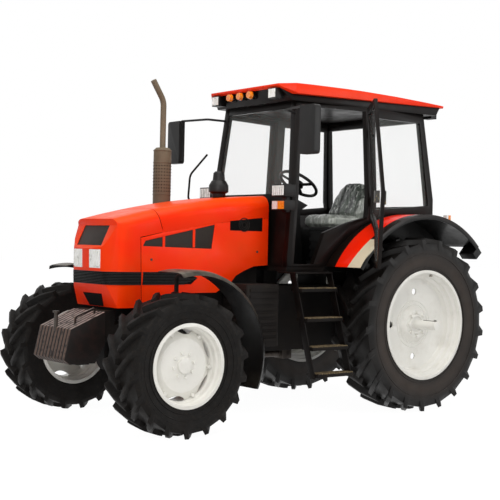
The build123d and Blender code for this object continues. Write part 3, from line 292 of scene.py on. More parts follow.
steel = Finish("link_steel", tone("453F3A"), 0.42, metallic=0.7)
steel.layer(steel.remap(steel.noise(26, 6), 0.45, 0.7, 0.0, 0.8), tone("2A211D"))
steel.roughness(steel.noise(40, 5), 0.3, 0.62)
bright_steel = Finish("bright_steel", tone("A8A49C"), 0.3, metallic=0.9)
bright_steel.layer(bright_steel.remap(bright_steel.noise(40, 6), 0.5, 0.8, 0.0, 0.6), tone("6A6158"))
bright_steel.roughness(bright_steel.noise(60, 5), 0.22, 0.45)

trim_plastic = Finish("trim_plastic", tone("0B0A0A"), 0.45, specular=0.3)
trim_plastic.layer(trim_plastic.remap(trim_plastic.noise(12, 5), 0.5, 0.8, 0.0, 0.5), tone("1C1A18"))
trim_plastic.bump(trim_plastic.noise(420, 2), 0.0003)
lock_grey = Finish("lock_grey", tone("3A3836"), 0.4, metallic=0.3)
lock_grey.layer(lock_grey.remap(lock_grey.noise(70, 4), 0.56, 0.66), tone("9A8A5C"))
lock_grey.bump(lock_grey.noise(240, 3), 0.0006)
# near-black for the radiator; also painted shade for the sheets and dots that fill openings, vents and
# louvres
dark_inside = Finish("dark_inside", tone("040303"), 0.85, specular=0.1)
dark_inside.layer(dark_inside.remap(dark_inside.noise(9, 5), 0.5, 0.75, 0.0, 0.6), tone("0B0807"))

grille_mesh = Finish("grille_mesh", tone("0C0807"), 0.55, metallic=0.2, specular=0.3)
strands = grille_mesh.noise(150, 2, 0.5, (1, 1, 5))
grille_mesh.layer(grille_mesh.remap(strands, 0.45, 0.62), tone("3A3028"))
grille_mesh.layer(grille_mesh.remap(grille_mesh.noise(12, 5), 0.5, 0.7, 0.0, 0.6), tone("2C1A12"))
grille_mesh.bump(strands, 0.0012)

lamp_glass = Finish("lamp_glass", tone("E8E8E2"), 0.12, specular=0.7, coat=0.8, coat_rough=0.04)
flutes = lamp_glass.noise(70, 2, 0.5, (1, 3.2, 0.25))
lamp_glass.layer(lamp_glass.remap(flutes, 0.42, 0.62), tone("FFFFFF"))
lamp_glass.layer(lamp_glass.remap(lamp_glass.noise(24, 4), 0.55, 0.72, 0.0, 0.7), tone("9C9A92"))
lamp_glass.bump(flutes, 0.002)
lamp_back = Finish("lamp_back", tone("2E2C2A"), 0.4)
lamp_back.layer(lamp_back.remap(lamp_back.noise(30, 3), 0.4, 0.7, 0.0, 0.6), tone("5C5A54"))
amber_lens = Finish("amber_lens", tone("F57A0C"), 0.16, specular=0.6, coat=0.7, coat_rough=0.05)
amber_lens.layer(amber_lens.remap(amber_lens.noise(60, 3), 0.4, 0.65), tone("FFA62E"))
amber_lens.bump(amber_lens.noise(160, 2), 0.0008)

# dark cushion under a clear film, with the film's highlights painted on: pale where the film bunches up,
# on the cushion's flanks and towards the bottom
seat_cloth = Finish("seat_cloth", tone("0A0E0C"), 0.34, specular=0.5, coat=0.8, coat_rough=0.1)
folds = seat_cloth.noise(5.5, 6, 0.62, (1.0, 2.2, 0.8))
creases = seat_cloth.noise(17, 7, 0.7, (1.6, 1.6, 0.5))
# painted highlights and reflections of the film, in the pale layers below
seat_cloth.layer(seat_cloth.remap(folds, 0.42, 0.62, 0.0, 0.8), tone("707C72"))
sideways = seat_cloth.math("ABSOLUTE", seat_cloth.normal("Y"), 0.0)
on_flanks = seat_cloth.remap(sideways, 0.5, 0.9, 0.0, 0.55)
pale = seat_cloth.math("ADD", on_flanks, seat_cloth.remap(seat_cloth.axis("Z"), 1.93, 1.85, 0.0, 0.6))
creased = seat_cloth.remap(creases, 0.3, 0.55, 0.5, 1.0)
seat_cloth.layer(seat_cloth.math("MULTIPLY", pale, creased), tone("D8DFD6"))
seat_cloth.layer(seat_cloth.remap(creases, 0.555, 0.61), tone("DDE3DC"))
seat_cloth.bump(creases, 0.010)
seat_cloth.bump(folds, 0.016)

window_glass = Finish("window_glass", tone("E6EEEA"), 0.03, specular=0.5)
window_glass.shader.inputs["Alpha"].default_value = 0.05
window_glass.layer(window_glass.remap(window_glass.noise(3, 3), 0.4, 0.7), tone("D5DED8"))
window_glass.roughness(window_glass.noise(6, 4), 0.02, 0.06)


# ------------------------------------------------------------------ making pieces
def piece_from(bm, name, finish, body, sharp=32.0, replaces=()):
    """Turns a bmesh into a finished piece that rides on a body."""
    mesh = bpy.data.meshes.new(name)
    bm.normal_update()
    bm.to_mesh(mesh)
    bm.free()
    return dress(bpy.data.objects.new(name, mesh), finish, body, sharp, replaces)


def dress(piece, finish, body, sharp=32.0, replaces=()):
    """Links, shades, finishes and hangs a new object."""
    if piece.name not in bpy.context.scene.collection.objects:
        bpy.context.scene.collection.objects.link(piece)
    piece.data.materials.clear()
    piece.data.materials.append(finish.material)
    piece.data.shade_smooth()
    piece.data.set_sharp_from_angle(angle=math.radians(sharp))
    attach(piece, body)
    if replaces:
        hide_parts(*replaces)
    return piece


def plain_mesh(piece):
    """Applies what the modifiers make and drops them."""
    graph = bpy.context.evaluated_depsgraph_get()
    graph.update()
    made = bpy.data.meshes.new_from_object(piece.evaluated_get(graph), depsgraph=graph)
    piece.modifiers.clear()
    old = piece.data
    piece.data = made
    if old.users == 0:
        bpy.data.meshes.remove(old)
    return piece


def skin(node, finish, edge=0.0015, sharp=30.0):
    """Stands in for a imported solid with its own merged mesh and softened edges."""
    source = nodes[node]
    bm = bmesh.new()
    bm.from_mesh(source.data)
    bmesh.ops.remove_doubles(bm, verts=bm.verts, dist=2e-5)
    bmesh.ops.dissolve_limit(
        bm, angle_limit=math.radians(0.6), use_dissolve_boundaries=False, verts=bm.verts,
        edges=bm.edges,
    )
    mesh = bpy.data.meshes.new(node + "_skin")
    bm.to_mesh(mesh)
    bm.free()
    piece = bpy.data.objects.new(node + "_skin", mesh)
    bpy.context.scene.collection.objects.link(piece)
    bevel = piece.modifiers.new("edge", "BEVEL")
    bevel.width = edge
    bevel.segments = 2
    bevel.limit_method = "ANGLE"
    bevel.angle_limit = math.radians(sharp)
    bevel.use_clamp_overlap = True
    plain_mesh(piece)
    return dress(piece, finish, source["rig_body"], sharp, (node,))


def finish_node(node, finish):
    """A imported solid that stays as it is, with its own finish."""
    data = nodes[node].data
    data.materials.clear()
    data.materials.append(finish.material)


body_finish = {
    "hood_top": hood_paint, "side_panel_left": hood_paint, "side_panel_right": hood_paint,
    "nose_cowl": hood_paint, "roof_cap": roof_paint, "rear_fenders": fender_paint,
    "roof_fascia": cab_paint, "cab_sides": cab_paint, "cab_ends": cab_paint, "cab_floor": frame_paint,
    "door_left": cab_paint, "door_right": cab_paint, "front_rim_left": wheel_enamel,
    "front_rim_right": wheel_enamel, "rear_rim_left": wheel_enamel, "rear_rim_right": wheel_enamel,
    "front_fender_left": fender_black, "front_fender_right": fender_black,
    "engine": cast_iron, "gearbox": cast_iron, "rear_axle": cast_iron, "front_axle": cast_iron,
    "front_frame": cast_iron, "knuckle_left": cast_iron, "knuckle_right": cast_iron,
    "front_weights": weight_iron, "drive_shaft": steel, "radiator": dark_inside,
    "hood_frame": frame_paint, "nose_grille": grille_mesh, "side_grilles": grille_mesh,
    "nose_lamps": lamp_glass, "exhaust": exhaust_paint, "air_precleaner": trim_plastic,
    "battery_box": tank_paint, "fuel_tank": tank_paint, "dashboard": trim_plastic,
    "ladders": frame_paint, "mirrors": trim_plastic, "work_lamps": trim_plastic,
    "tail_lamps": trim_plastic, "drawbar": steel, "lower_links": steel, "lift_arms": steel,
    "lift_rods": steel, "top_link": steel, "front_tyre_left": tyre_rubber,
    "front_tyre_right": tyre_rubber, "rear_tyre_left": rear_rubber, "rear_tyre_right": rear_rubber,
}
for node, finish in body_finish.items():
    skin(node, finish)
for node in ("cab_glass", "door_glass_left", "door_glass_right"):
    finish_node(node, window_glass)


# ------------------------------------------------------------------ repeats and simple shapes
def spread_tree(name, around):
    """Geometry Nodes tree that sets copies of a shape in a row or round a circle."""
    tree = bpy.data.node_groups.new(name, "GeometryNodeTree")
    kinds = (
        ("Shape", "NodeSocketGeometry"), ("Count", "NodeSocketInt"), ("Start", "NodeSocketVector"),
        ("Step", "NodeSocketVector"), ("Radius", "NodeSocketFloat"), ("Finish", "NodeSocketMaterial"),
    )
    for label, kind in kinds:
        tree.interface.new_socket(label, in_out="INPUT", socket_type=kind)
    tree.interface.new_socket("Geometry", in_out="OUTPUT", socket_type="NodeSocketGeometry")
    entry = tree.nodes.new("NodeGroupInput")
    spread = tree.nodes.new("GeometryNodeInstanceOnPoints")
    if around:
        circle = tree.nodes.new("GeometryNodeMeshCircle")
        place = tree.nodes.new("GeometryNodeTransform")
        tree.links.new(entry.outputs["Count"], circle.inputs["Vertices"])
        tree.links.new(entry.outputs["Radius"], circle.inputs["Radius"])
        tree.links.new(circle.outputs["Mesh"], place.inputs["Geometry"])
        tree.links.new(entry.outputs["Start"], place.inputs["Translation"])
        tree.links.new(entry.outputs["Step"], place.inputs["Rotation"])
        tree.links.new(place.outputs["Geometry"], spread.inputs["Points"])
    else:
        line = tree.nodes.new("GeometryNodeMeshLine")
        tree.links.new(entry.outputs["Count"], line.inputs["Count"])
        tree.links.new(entry.outputs["Start"], line.inputs["Start Location"])
        tree.links.new(entry.outputs["Step"], line.inputs["Offset"])
        tree.links.new(line.outputs["Mesh"], spread.inputs["Points"])
    real = tree.nodes.new("GeometryNodeRealizeInstances")
    paint = tree.nodes.new("GeometryNodeSetMaterial")
    end = tree.nodes.new("NodeGroupOutput")
    tree.links.new(entry.outputs["Shape"], spread.inputs["Instance"])
    tree.links.new(spread.outputs["Instances"], real.inputs["Geometry"])
    tree.links.new(real.outputs["Geometry"], paint.inputs["Geometry"])
    tree.links.new(entry.outputs["Finish"], paint.inputs["Material"])
    tree.links.new(paint.outputs["Geometry"], end.inputs["Geometry"])
    return tree


row_tree = spread_tree("copies_in_a_row", around=False)
ring_tree = spread_tree("copies_round_a_circle", around=True)


def spread(name, bm, tree, finish, body, sharp=32.0, **sizes):
    """Repeats a shape by one of the trees and hangs the result on a body."""
    mesh = bpy.data.meshes.new(name)
    bm.to_mesh(mesh)
    bm.free()
    piece = bpy.data.objects.new(name, mesh)
    bpy.context.scene.collection.objects.link(piece)
    modifier = piece.modifiers.new("spread", "NODES")
    modifier.node_group = tree
    ids = {item.name: item.identifier for item in tree.interface.items_tree if item.in_out == "INPUT"}
    for label, value in sizes.items():
        modifier[ids[label]] = value
    modifier[ids["Finish"]] = finish.material
    plain_mesh(piece)
    return dress(piece, finish, body, sharp)


def row(name, bm, finish, body, count, start, step):
    """Copies along a straight line."""
    return spread(name, bm, row_tree, finish, body, Count=count, Start=start, Step=step)


def ring(name, bm, finish, body, count, centre, radius, turn=0.0):
    """Copies round an axis across the tractor."""
    return spread(
        name, bm, ring_tree, finish, body, Count=count, Start=centre, Step=(math.pi / 2, turn, 0.0),
        Radius=radius,
    )


def brick(bm, centre, size, turn=None):
    """Adds a box to a mesh."""
    matrix = Matrix.Translation(centre) @ (turn or Matrix()) @ Matrix.Diagonal((*size, 1))
    bmesh.ops.create_cube(bm, size=1, matrix=matrix)
    return bm


def disc(bm, centre, radius, depth, axis="Y", sides=48, taper=1.0):
    """Adds a round or many-sided plate to a mesh."""
    turns = {
        "X": Matrix.Rotation(math.pi / 2, 4, "Y"), "Y": Matrix.Rotation(-math.pi / 2, 4, "X"),
        "Z": Matrix(),
    }
    bmesh.ops.create_cone(
        bm, cap_ends=True, segments=sides, radius1=radius, radius2=radius * taper, depth=depth,
        matrix=Matrix.Translation(centre) @ turns[axis],
    )
    return bm


def flat_face(name, corners, toward, finish, body):
    """One flat face that looks a given way."""
    bm = bmesh.new()
    face = bm.faces.new([bm.verts.new(p) for p in corners])
    bm.normal_update()
    if face.normal.dot(Vector(toward)) < 0:
        face.normal_flip()
    return piece_from(bm, name, finish, body)


def tube(name, path, radius, finish, body, closed=False, smooth=0.0):
    """Round rod along a path whose corners may be rounded."""
    points = [Vector(p) for p in path]
    if smooth:
        rounded = [points[0]]
        for before, here, after in zip(points, points[1:], points[2:]):
            start = here + (before - here).normalized() * smooth
            end = here + (after - here).normalized() * smooth
            shares = (0.0, 0.25, 0.5, 0.75, 1.0)
            rounded += [start.lerp(here, t).lerp(here.lerp(end, t), t) for t in shares]
        points = rounded + [points[-1]]
    curve = bpy.data.curves.new(name, "CURVE")
    curve.dimensions = "3D"
    spline = curve.splines.new("POLY")
    spline.points.add(len(points) - 1)
    for point, place in zip(spline.points, points):
        point.co = (*place, 1)
    spline.use_cyclic_u = closed
    curve.bevel_depth = radius
    curve.bevel_resolution = 4
    curve.use_fill_caps = True
    holder = bpy.data.objects.new(name + "_path", curve)
    bpy.context.scene.collection.objects.link(holder)
    graph = bpy.context.evaluated_depsgraph_get()
    mesh = bpy.data.meshes.new_from_object(holder.evaluated_get(graph), depsgraph=graph)
    bpy.data.objects.remove(holder)
    bpy.data.curves.remove(curve)
    return dress(bpy.data.objects.new(name, mesh), finish, body, 40)


def circle_path(centre, radius, count=64, turn=None):
    """Points of a circle across the tractor, or turned by a matrix."""
    turn = turn or Matrix.Rotation(math.pi / 2, 3, "X")
    steps = [math.tau * i / count for i in range(count)]
    return [
        Vector(centre) + turn @ Vector((radius * math.cos(a), radius * math.sin(a), 0)) for a in steps
    ]


# ------------------------------------------------------------------ wheels
for label, side in SIDES:
    x, z = FRONT_AXLE
    body = f"front_wheel_{label}"
    nut = disc(bmesh.new(), (0, 0, 0), 0.0145, 0.018, sides=6, taper=0.86 if side > 0 else 1.0)
    ring(f"front_wheel_nuts_{label}", nut, wheel_enamel, body, 8, (x, side * 1.013, z), 0.100, 0.2)
    bolt = disc(bmesh.new(), (0, 0, 0), 0.016, 0.03, sides=6)
    ring(
        f"front_lobe_bolts_{label}", bolt, wheel_enamel, body, 6, (x, side * 0.978, z), 0.270,
        math.radians(-6),
    )
    for number, (y, radius) in enumerate(((1.0905, 0.382), (1.1015, 0.436), (1.1075, 0.468))):
        tube(
            f"front_wall_ring_{number}_{label}", circle_path((x, side * y, z), radius, 72), 0.0038,
            tyre_rubber, body, closed=True,
        )
    x, z = REAR_AXLE
    body = f"rear_wheel_{label}"
    for number, (y, radius) in enumerate(((1.0830, 0.554), (1.1035, 0.684))):
        tube(
            f"rear_wall_ring_{number}_{label}", circle_path((x, side * y, z), radius, 84), 0.0042,
            rear_rubber, body, closed=True,
        )
    nut = disc(bmesh.new(), (0, 0, 0), 0.0165, 0.03, sides=6)
    ring(f"rear_wheel_nuts_{label}", nut, wheel_enamel, body, 8, (x, side * 0.978, z), 0.112)
    for number, radius in enumerate((0.222, 0.190)):
        tube(
            f"rear_disc_bead_{number}_{label}", circle_path((x, side * 0.925, z), radius), 0.006,
            wheel_enamel, body, closed=True,
        )
    tube(
        f"rear_hub_collar_{label}", circle_path((x, side * 0.968, z), 0.082), 0.013, wheel_enamel, body,
        closed=True,
    )
    key = brick(bmesh.new(), (x, side * 1.14, z + 0.042), (0.016, 0.16, 0.006))
    piece_from(key, f"rear_shaft_key_{label}", steel, body)
    valve = disc(bmesh.new(), (x - 0.10, side * 1.035, z + 0.468), 0.011, 0.05, axis="Y", sides=12)
    piece_from(valve, f"rear_valve_{label}", bright_steel, body)

# ------------------------------------------------------------------ hood trim
NOSE_TOP = 3.005
CHIN_LOW, CHIN_HEIGHT, CHIN_RISE = 1.008, 0.194, 0.083


def nose_ring(z, proud=0.0015):
    """Outline of the nose at a height, from the left flank round to the right one."""
    profile = (
        (1.008, NOSE_TOP - 0.028), (1.202, NOSE_TOP + 0.055), (1.314, NOSE_TOP + 0.078),
        (1.340, NOSE_TOP + 0.092),
    )
    for (z0, x0), (z1, x1) in zip(profile, profile[1:]):
        if z0 <= z <= z1:
            face_x = x0 + (x1 - x0) * (z - z0) / (z1 - z0)
    plan = ((2.900, 0.352), (2.980, 0.332), (3.045, 0.287), (3.085, 0.227), (3.110, 0.0))
    points = [(2.759, 0.352 + proud)]
    for (x0, y0), (x1, y1) in zip(plan, plan[1:]):
        points.append((x0 + proud, y0 + proud))
        if x0 < face_x < x1:
            points.append((face_x + proud, y0 + (y1 - y0) * (face_x - x0) / (x1 - x0) + proud))
            break
    return [(x, y, z) for x, y in points] + [(x, -y, z) for x, y in reversed(points)]


def band(name, rings, finish, body, sharp=32.0):
    """Strip of surface between outlines that have the same count of points."""
    bm = bmesh.new()
    rows = [[bm.verts.new(p) for p in one] for one in rings]
    for low, high in zip(rows, rows[1:]):
        for i in range(len(low) - 1):
            bm.faces.new((low[i], low[i + 1], high[i + 1], high[i]))
    bm.normal_update()
    if sum(face.normal.x for face in bm.faces) < 0:
        bmesh.ops.reverse_faces(bm, faces=bm.faces)
    return piece_from(bm, name, finish, body, sharp)


# the band of slats is black between these heights
VENT_LOW, VENT_HIGH = 1.206, 1.311
SLATS = 9
HOOD_FLANK = 0.3532
TRIM_FLANK = 0.3535
for index in range(SLATS):
    z = VENT_LOW + (VENT_HIGH - VENT_LOW) * index / (SLATS - 1)
    tube(f"nose_vent_slat_{index}", nose_ring(z, 0.002), 0.0032, trim_plastic, "nose")
# painted shade: a dark sheet behind the slats
heights = [VENT_LOW + (VENT_HIGH - VENT_LOW) * i / 4 for i in range(5)]
band("nose_vent_back", [nose_ring(z, 0.0012) for z in heights], dark_inside, "nose")
for label, side in SIDES:
    y = side * HOOD_FLANK
    # painted shade: a dark sheet behind the side slats
    corners = ((2.748, 1.206), (2.738, 1.311), (2.30, 1.311), (2.17, 1.262), (2.24, 1.206))
    corners = [(x, y, z) for x, z in corners]
    flat_face(f"side_vent_back_{label}", corners, (0, side, 0), dark_inside, "chassis")
    for index in range(SLATS):
        share = index / (SLATS - 1)
        z = VENT_LOW + (VENT_HIGH - VENT_LOW) * share
        # the band comes to a point at its rear end
        back = 2.17 + 0.13 * abs(share - 0.53) / 0.5
        tube(
            f"side_vent_slat_{label}_{index}", [(2.744, y, z), (back, y, z)], 0.0032, trim_plastic,
            "chassis",
        )
    # window bars, then the rear opening, a dark sheet of painted shade, with the round end of the air
    # cleaner in front of it
    for index, x in enumerate((2.216, 2.534)):
        bar = brick(bmesh.new(), (x, side * 0.3463, 1.61), (0.024, 0.010, 0.16))
        piece_from(bar, f"side_window_bar_{label}_{index}", hood_paint, "chassis")
    corners = [(x, y, z) for x, z in ((1.445, 1.690), (1.820, 1.690), (1.820, 1.775), (1.445, 1.815))]
    flat_face(f"side_rear_opening_{label}", corners, (0, side, 0), dark_inside, "chassis")
    for index, radius in enumerate((0.060, 0.042, 0.024)):
        tube(
            f"air_cleaner_ring_{label}_{index}",
            circle_path((1.658, side * TRIM_FLANK, 1.745), radius, 40),
            0.0042, tank_paint, "chassis", closed=True,
        )
    latch = disc(bmesh.new(), (2.66, side * TRIM_FLANK, 1.42), 0.011, 0.004, sides=20)
    disc(latch, (1.50, side * TRIM_FLANK, 1.50), 0.011, 0.004, sides=20)
    piece_from(latch, f"panel_latches_{label}", steel, "chassis")
# painted shade: the bumper's opening is a dark sheet
corners = (
    (0.155, 1.123), (0.155, 1.112), (0.118, 1.012), (-0.118, 1.012), (-0.155, 1.112), (-0.155, 1.123),
)
corners = [
    (NOSE_TOP - 0.026 + (z - CHIN_LOW) / CHIN_HEIGHT * CHIN_RISE, y, z) for y, z in corners
]
flat_face("bumper_opening", corners, (1, 0, 0), dark_inside, "nose")

# ------------------------------------------------------------------ lamps
for label, side in SIDES:
    # forward, across, up, width and height of each lens
    for name, x, y, z, width, height, finish in (
        ("roof_lamp_lens", 1.4315, 0.434, 2.962, 0.104, 0.082, lamp_back),
        ("work_lamp_lens", 1.4365, 0.560, 2.065, 0.172, 0.092, lamp_back),
        ("indicator_lens", 1.4365, 0.600, 1.932, 0.088, 0.072, amber_lens),
        ("marker_lens", 1.4365, 0.515, 1.932, 0.072, 0.072, lamp_glass),
    ):
        lens = brick(bmesh.new(), (x, side * y, z), (0.006, width, height))
        piece_from(lens, f"{name}_{label}", finish, "chassis")
    flute = disc(bmesh.new(), (0, 0, 0), 0.0048, 0.080, axis="Z", sides=10)
    row(
        f"roof_lamp_flutes_{label}", flute, lamp_glass, "chassis", 9,
        (1.434, side * 0.434 - 0.044, 2.962), (0, 0.011, 0),
    )
    flute = disc(bmesh.new(), (0, 0, 0), 0.0108, 0.088, axis="Z", sides=12)
    row(
        f"work_lamp_flutes_{label}", flute, lamp_glass, "chassis", 6,
        (1.437, side * 0.560 - 0.070, 2.065), (0, 0.028, 0),
    )
    flute = disc(bmesh.new(), (0, 0, 0), 0.0055, 0.136, axis="Z", sides=10)
    row(
        f"nose_lamp_flutes_{label}", flute, lamp_glass, "nose", 10,
        (3.094, side * 0.139 - 0.063, 1.424), (0, 0.014, 0),
    )
    mirror = brick(bmesh.new(), (1.444, side * 1.025, 2.585), (0.004, 0.172, 0.40))
    piece_from(mirror, f"mirror_glass_{label}", bright_steel, "chassis")
dome = disc(bmesh.new(), (0, 0, 0), 0.037, 0.032, axis="X", sides=40, taper=0.86)
row("roof_markers", dome, amber_lens, "chassis", 3, (1.430, -0.210, 2.975), (0, 0.155, 0))

# ------------------------------------------------------------------ steering wheel
WHEEL_CENTRE = Vector((0.706, 0, 2.178))
WHEEL_TILT = Matrix.Rotation(math.radians(-35), 3, "Y")
rim_path = circle_path(WHEEL_CENTRE, 0.197, 72, WHEEL_TILT)
tube("steering_wheel_rim", rim_path, 0.0155, trim_plastic, "hand_wheel", closed=True)
bm = bmesh.new()
turned = Matrix.Translation(WHEEL_CENTRE) @ WHEEL_TILT.to_4x4()
for angle in (90, 210, 330):
    spoke = turned @ Matrix.Rotation(math.radians(angle), 4, "Z")
    spoke = spoke @ Matrix.Translation((0.105, 0, -0.012))
    bmesh.ops.create_cube(bm, size=1, matrix=spoke @ Matrix.Diagonal((0.17, 0.030, 0.012, 1)))
bmesh.ops.create_cone(
    bm, cap_ends=True, segments=40, radius1=0.058, radius2=0.048, depth=0.036, matrix=turned,
)
bmesh.ops.create_cone(
    bm, cap_ends=True, segments=32, radius1=0.026, radius2=0.026, depth=0.118,
    matrix=turned @ Matrix.Translation((0, 0, -0.059)),
)
piece_from(bm, "steering_wheel_hub", trim_plastic, "hand_wheel", 32, ("steering_wheel",))

# ------------------------------------------------------------------ tanks, ladders, exhaust, weights
TANK_RIBS = 9
RIB_STEP = (0, 0, 0.056)
for label, side in SIDES:
    for name, size, x, y in (
        ("tank_side_ribs", (0.315, 0.010, 0.026), 1.6125, 0.604),
        ("tank_front_ribs", (0.010, 0.31, 0.026), 1.804, 0.413),
    ):
        rib = brick(bmesh.new(), (0, 0, 0), size)
        row(f"{name}_{label}", rib, tank_paint, "chassis", TANK_RIBS, (x, side * y, 0.71), RIB_STEP)
tread_dust = Finish("tread_dust", tone("7A6A4C"), 0.7)
tread_dust.layer(tread_dust.remap(tread_dust.noise(40, 5), 0.45, 0.65), tone("2E2620"))
# the ladders lean outwards from their top towards their foot
LADDER_TOP, LADDER_FOOT = (0.742, 1.312), (1.036, 0.395)
LADDER_LEAN = (LADDER_FOOT[0] - LADDER_TOP[0]) / (LADDER_TOP[1] - LADDER_FOOT[1])
STEP_REACH = 0.075
for label, side in SIDES:
    tooth = bmesh.new()
    for level in (1.168, 0.905, 0.655, 0.425):
        outer = LADDER_TOP[0] + LADDER_LEAN * (LADDER_TOP[1] - level) + STEP_REACH
        brick(tooth, (0, side * (outer - 0.006), level + 0.019), (0.008, 0.012, 0.010))
        brick(tooth, (0, side * (outer - 0.070), level + 0.018), (0.008, 0.100, 0.006))
    row(f"step_teeth_{label}", tooth, tread_dust, "chassis", 21, (0.974, 0, 0), (0.020, 0, 0))

EXHAUST = (2.036, -0.442)
for index, (z, radius) in enumerate(((1.908, 0.084), (2.02, 0.0842), (2.32, 0.0842), (2.434, 0.084))):
    tube(
        f"muffler_band_{index}", circle_path((*EXHAUST, z), radius, 48, Matrix()), 0.0045, exhaust_paint,
        "chassis", closed=True,
    )
# painted shade: the louvres' holes are rows of dark dots
pip = bmesh.new()
for level in range(9):
    bmesh.ops.create_icosphere(
        pip, subdivisions=2, radius=0.0062, matrix=Matrix.Translation((0, 0, 0.03 * level))
    )
spread(
    "muffler_louvres", pip, ring_tree, dark_inside, "chassis", Count=20, Start=(*EXHAUST, 2.05),
    Step=(0, 0, 0), Radius=0.0815,
)

handle = [(3.12, 0.20, 0.960), (3.12, 0.20, 1.005), (3.30, 0.20, 0.935), (3.30, 0.20, 0.880)]
tube("weight_handle", handle, 0.010, weight_iron, "chassis", smooth=0.02)
pin = disc(bmesh.new(), (3.37, 0, 0.885), 0.016, 0.16, axis="Z", sides=24)
disc(pin, (3.37, 0, 0.968), 0.028, 0.016, axis="Z", sides=24)
piece_from(pin, "hitch_pin", steel, "chassis")

TAIL_LAMP_Y = 1.066
for label, side in SIDES:
    marker = brick(bmesh.new(), (-0.272, side * TAIL_LAMP_Y, 1.866), (0.024, 0.044, 0.052))
    piece_from(marker, f"tail_marker_{label}", lamp_glass, "chassis")
    indicator = brick(bmesh.new(), (-0.302, side * TAIL_LAMP_Y, 1.862), (0.036, 0.044, 0.060))
    piece_from(indicator, f"tail_indicator_{label}", amber_lens, "chassis")

# lock box on the inner side of the open left leaf and a small handle on its outer side
leaf_turn = Matrix.Rotation(math.radians(50.8), 4, "Z")
lock = brick(bmesh.new(), (0.930, 1.3156, 2.015), (0.080, 0.044, 0.105), leaf_turn)
brick(lock, (0.919, 1.389, 2.005), (0.050, 0.040, 0.120), leaf_turn)
piece_from(lock, "door_lock_box", lock_grey, "left_door")

rail = [(1.440, -0.640, 1.985), (1.589, -0.640, 1.991), (1.571, -0.640, 2.239), (1.395, -0.600, 2.450)]
tube("grab_rail", rail, 0.010, frame_paint, "chassis", smooth=0.04)


# ------------------------------------------------------------------ seat with its film cover
PAD_MESH = 0.009
SWELL_STEPS = 20


def pad(name, rings, swell):
    """Cushion that swells out of a tapered block and wrinkles under its film."""
    bm = bmesh.new()
    rows = [[bm.verts.new(p) for p in one] for one in rings]
    for low, high in zip(rows, rows[1:]):
        for i in range(len(low)):
            bm.faces.new((low[i - 1], low[i], high[i], high[i - 1]))
    bm.faces.new(reversed(rows[0]))
    bm.faces.new(rows[-1])
    bmesh.ops.recalc_face_normals(bm, faces=bm.faces)
    mesh = bpy.data.meshes.new(name)
    bm.to_mesh(mesh)
    bm.free()
    piece = bpy.data.objects.new(name, mesh)
    bpy.context.scene.collection.objects.link(piece)
    remesh = piece.modifiers.new("even", "REMESH")
    remesh.mode = "VOXEL"
    remesh.voxel_size = PAD_MESH
    plain_mesh(piece)
    start = [v.co.copy() for v in piece.data.vertices]
    cloth = piece.modifiers.new("swell", "CLOTH")
    cloth.settings.use_pressure = True
    cloth.settings.uniform_pressure_force = 4
    cloth.settings.effector_weights.gravity = 0
    for step in range(1, SWELL_STEPS + 1):
        bpy.context.scene.frame_set(step)
    plain_mesh(piece)
    bpy.context.scene.frame_set(1)
    for vert, before in zip(piece.data.vertices, start):
        move = vert.co - before
        if move.length > swell:
            vert.co = before + move.normalized() * swell
    # the film's wrinkles: long pulls and finer creases
    smooth = piece.modifiers.new("smooth", "SUBSURF")
    smooth.levels = smooth.render_levels = 1
    plain_mesh(piece)
    normals = [v.normal.copy() for v in piece.data.vertices]
    for vert, normal in zip(piece.data.vertices, normals):
        place = vert.co
        pull = noise.noise(Vector((place.x * 9, place.y * 17, place.z * 7)))
        along = place.x * 30 + place.z * 12
        fine = noise.noise(Vector((along, place.y * 40, place.z * 16 - place.x * 9)))
        vert.co += normal * (0.009 * (abs(pull) - 0.25) + 0.0035 * fine)
    dress(piece, seat_cloth, "chassis", 60)
    return piece


def outline(half, back, front, round_off):
    """Plan outline of a pad with its corners taken off, from back to front."""
    left = [
        (back, half - round_off), (back + round_off, half), (front - round_off, half),
        (front, half - round_off),
    ]
    return left + [(x, -y) for x, y in reversed(left)]


def pad_rings(levels, round_off):
    """Outlines of a pad, one for each row of height, half width, back and front."""
    return [
        [(x, y, z) for x, y in outline(half, back, front, round_off)] for z, half, back, front in levels
    ]


cushion_levels = (
    (1.760, 0.20, -0.02, 0.430), (1.785, 0.232, -0.03, 0.462), (1.850, 0.232, -0.03, 0.462),
    (1.868, 0.20, 0.0, 0.430),
)
backrest_levels = (
    (1.845, 0.215, -0.010, 0.105), (1.90, 0.236, -0.030, 0.110), (2.06, 0.232, -0.065, 0.030),
    (2.16, 0.195, -0.090, -0.018), (2.215, 0.145, -0.100, -0.045), (2.232, 0.09, -0.095, -0.055),
)
cushion = pad("seat_cushion", pad_rings(cushion_levels, 0.05), swell=0.014)
backrest = pad("seat_backrest", pad_rings(backrest_levels, 0.03), swell=0.012)
# pedestal: seat plate, foot plate and the bellows between them
PEDESTAL_X = 0.235
BELLOWS_FOLDS = 8
FOLD_DEPTH = 0.022
bm = brick(bmesh.new(), (PEDESTAL_X, 0, 1.744), (0.42, 0.42, 0.024))
brick(bm, (PEDESTAL_X, 0, 1.39), (0.38, 0.36, 0.046))
for index in range(BELLOWS_FOLDS):
    shrink = 0.0 if index % 2 else FOLD_DEPTH
    brick(bm, (PEDESTAL_X, 0, 1.435 + 0.040 * index), (0.34 - shrink, 0.32 - shrink, 0.0402))
pedestal = piece_from(bm, "seat_pedestal", trim_plastic, "chassis")
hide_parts("seat")


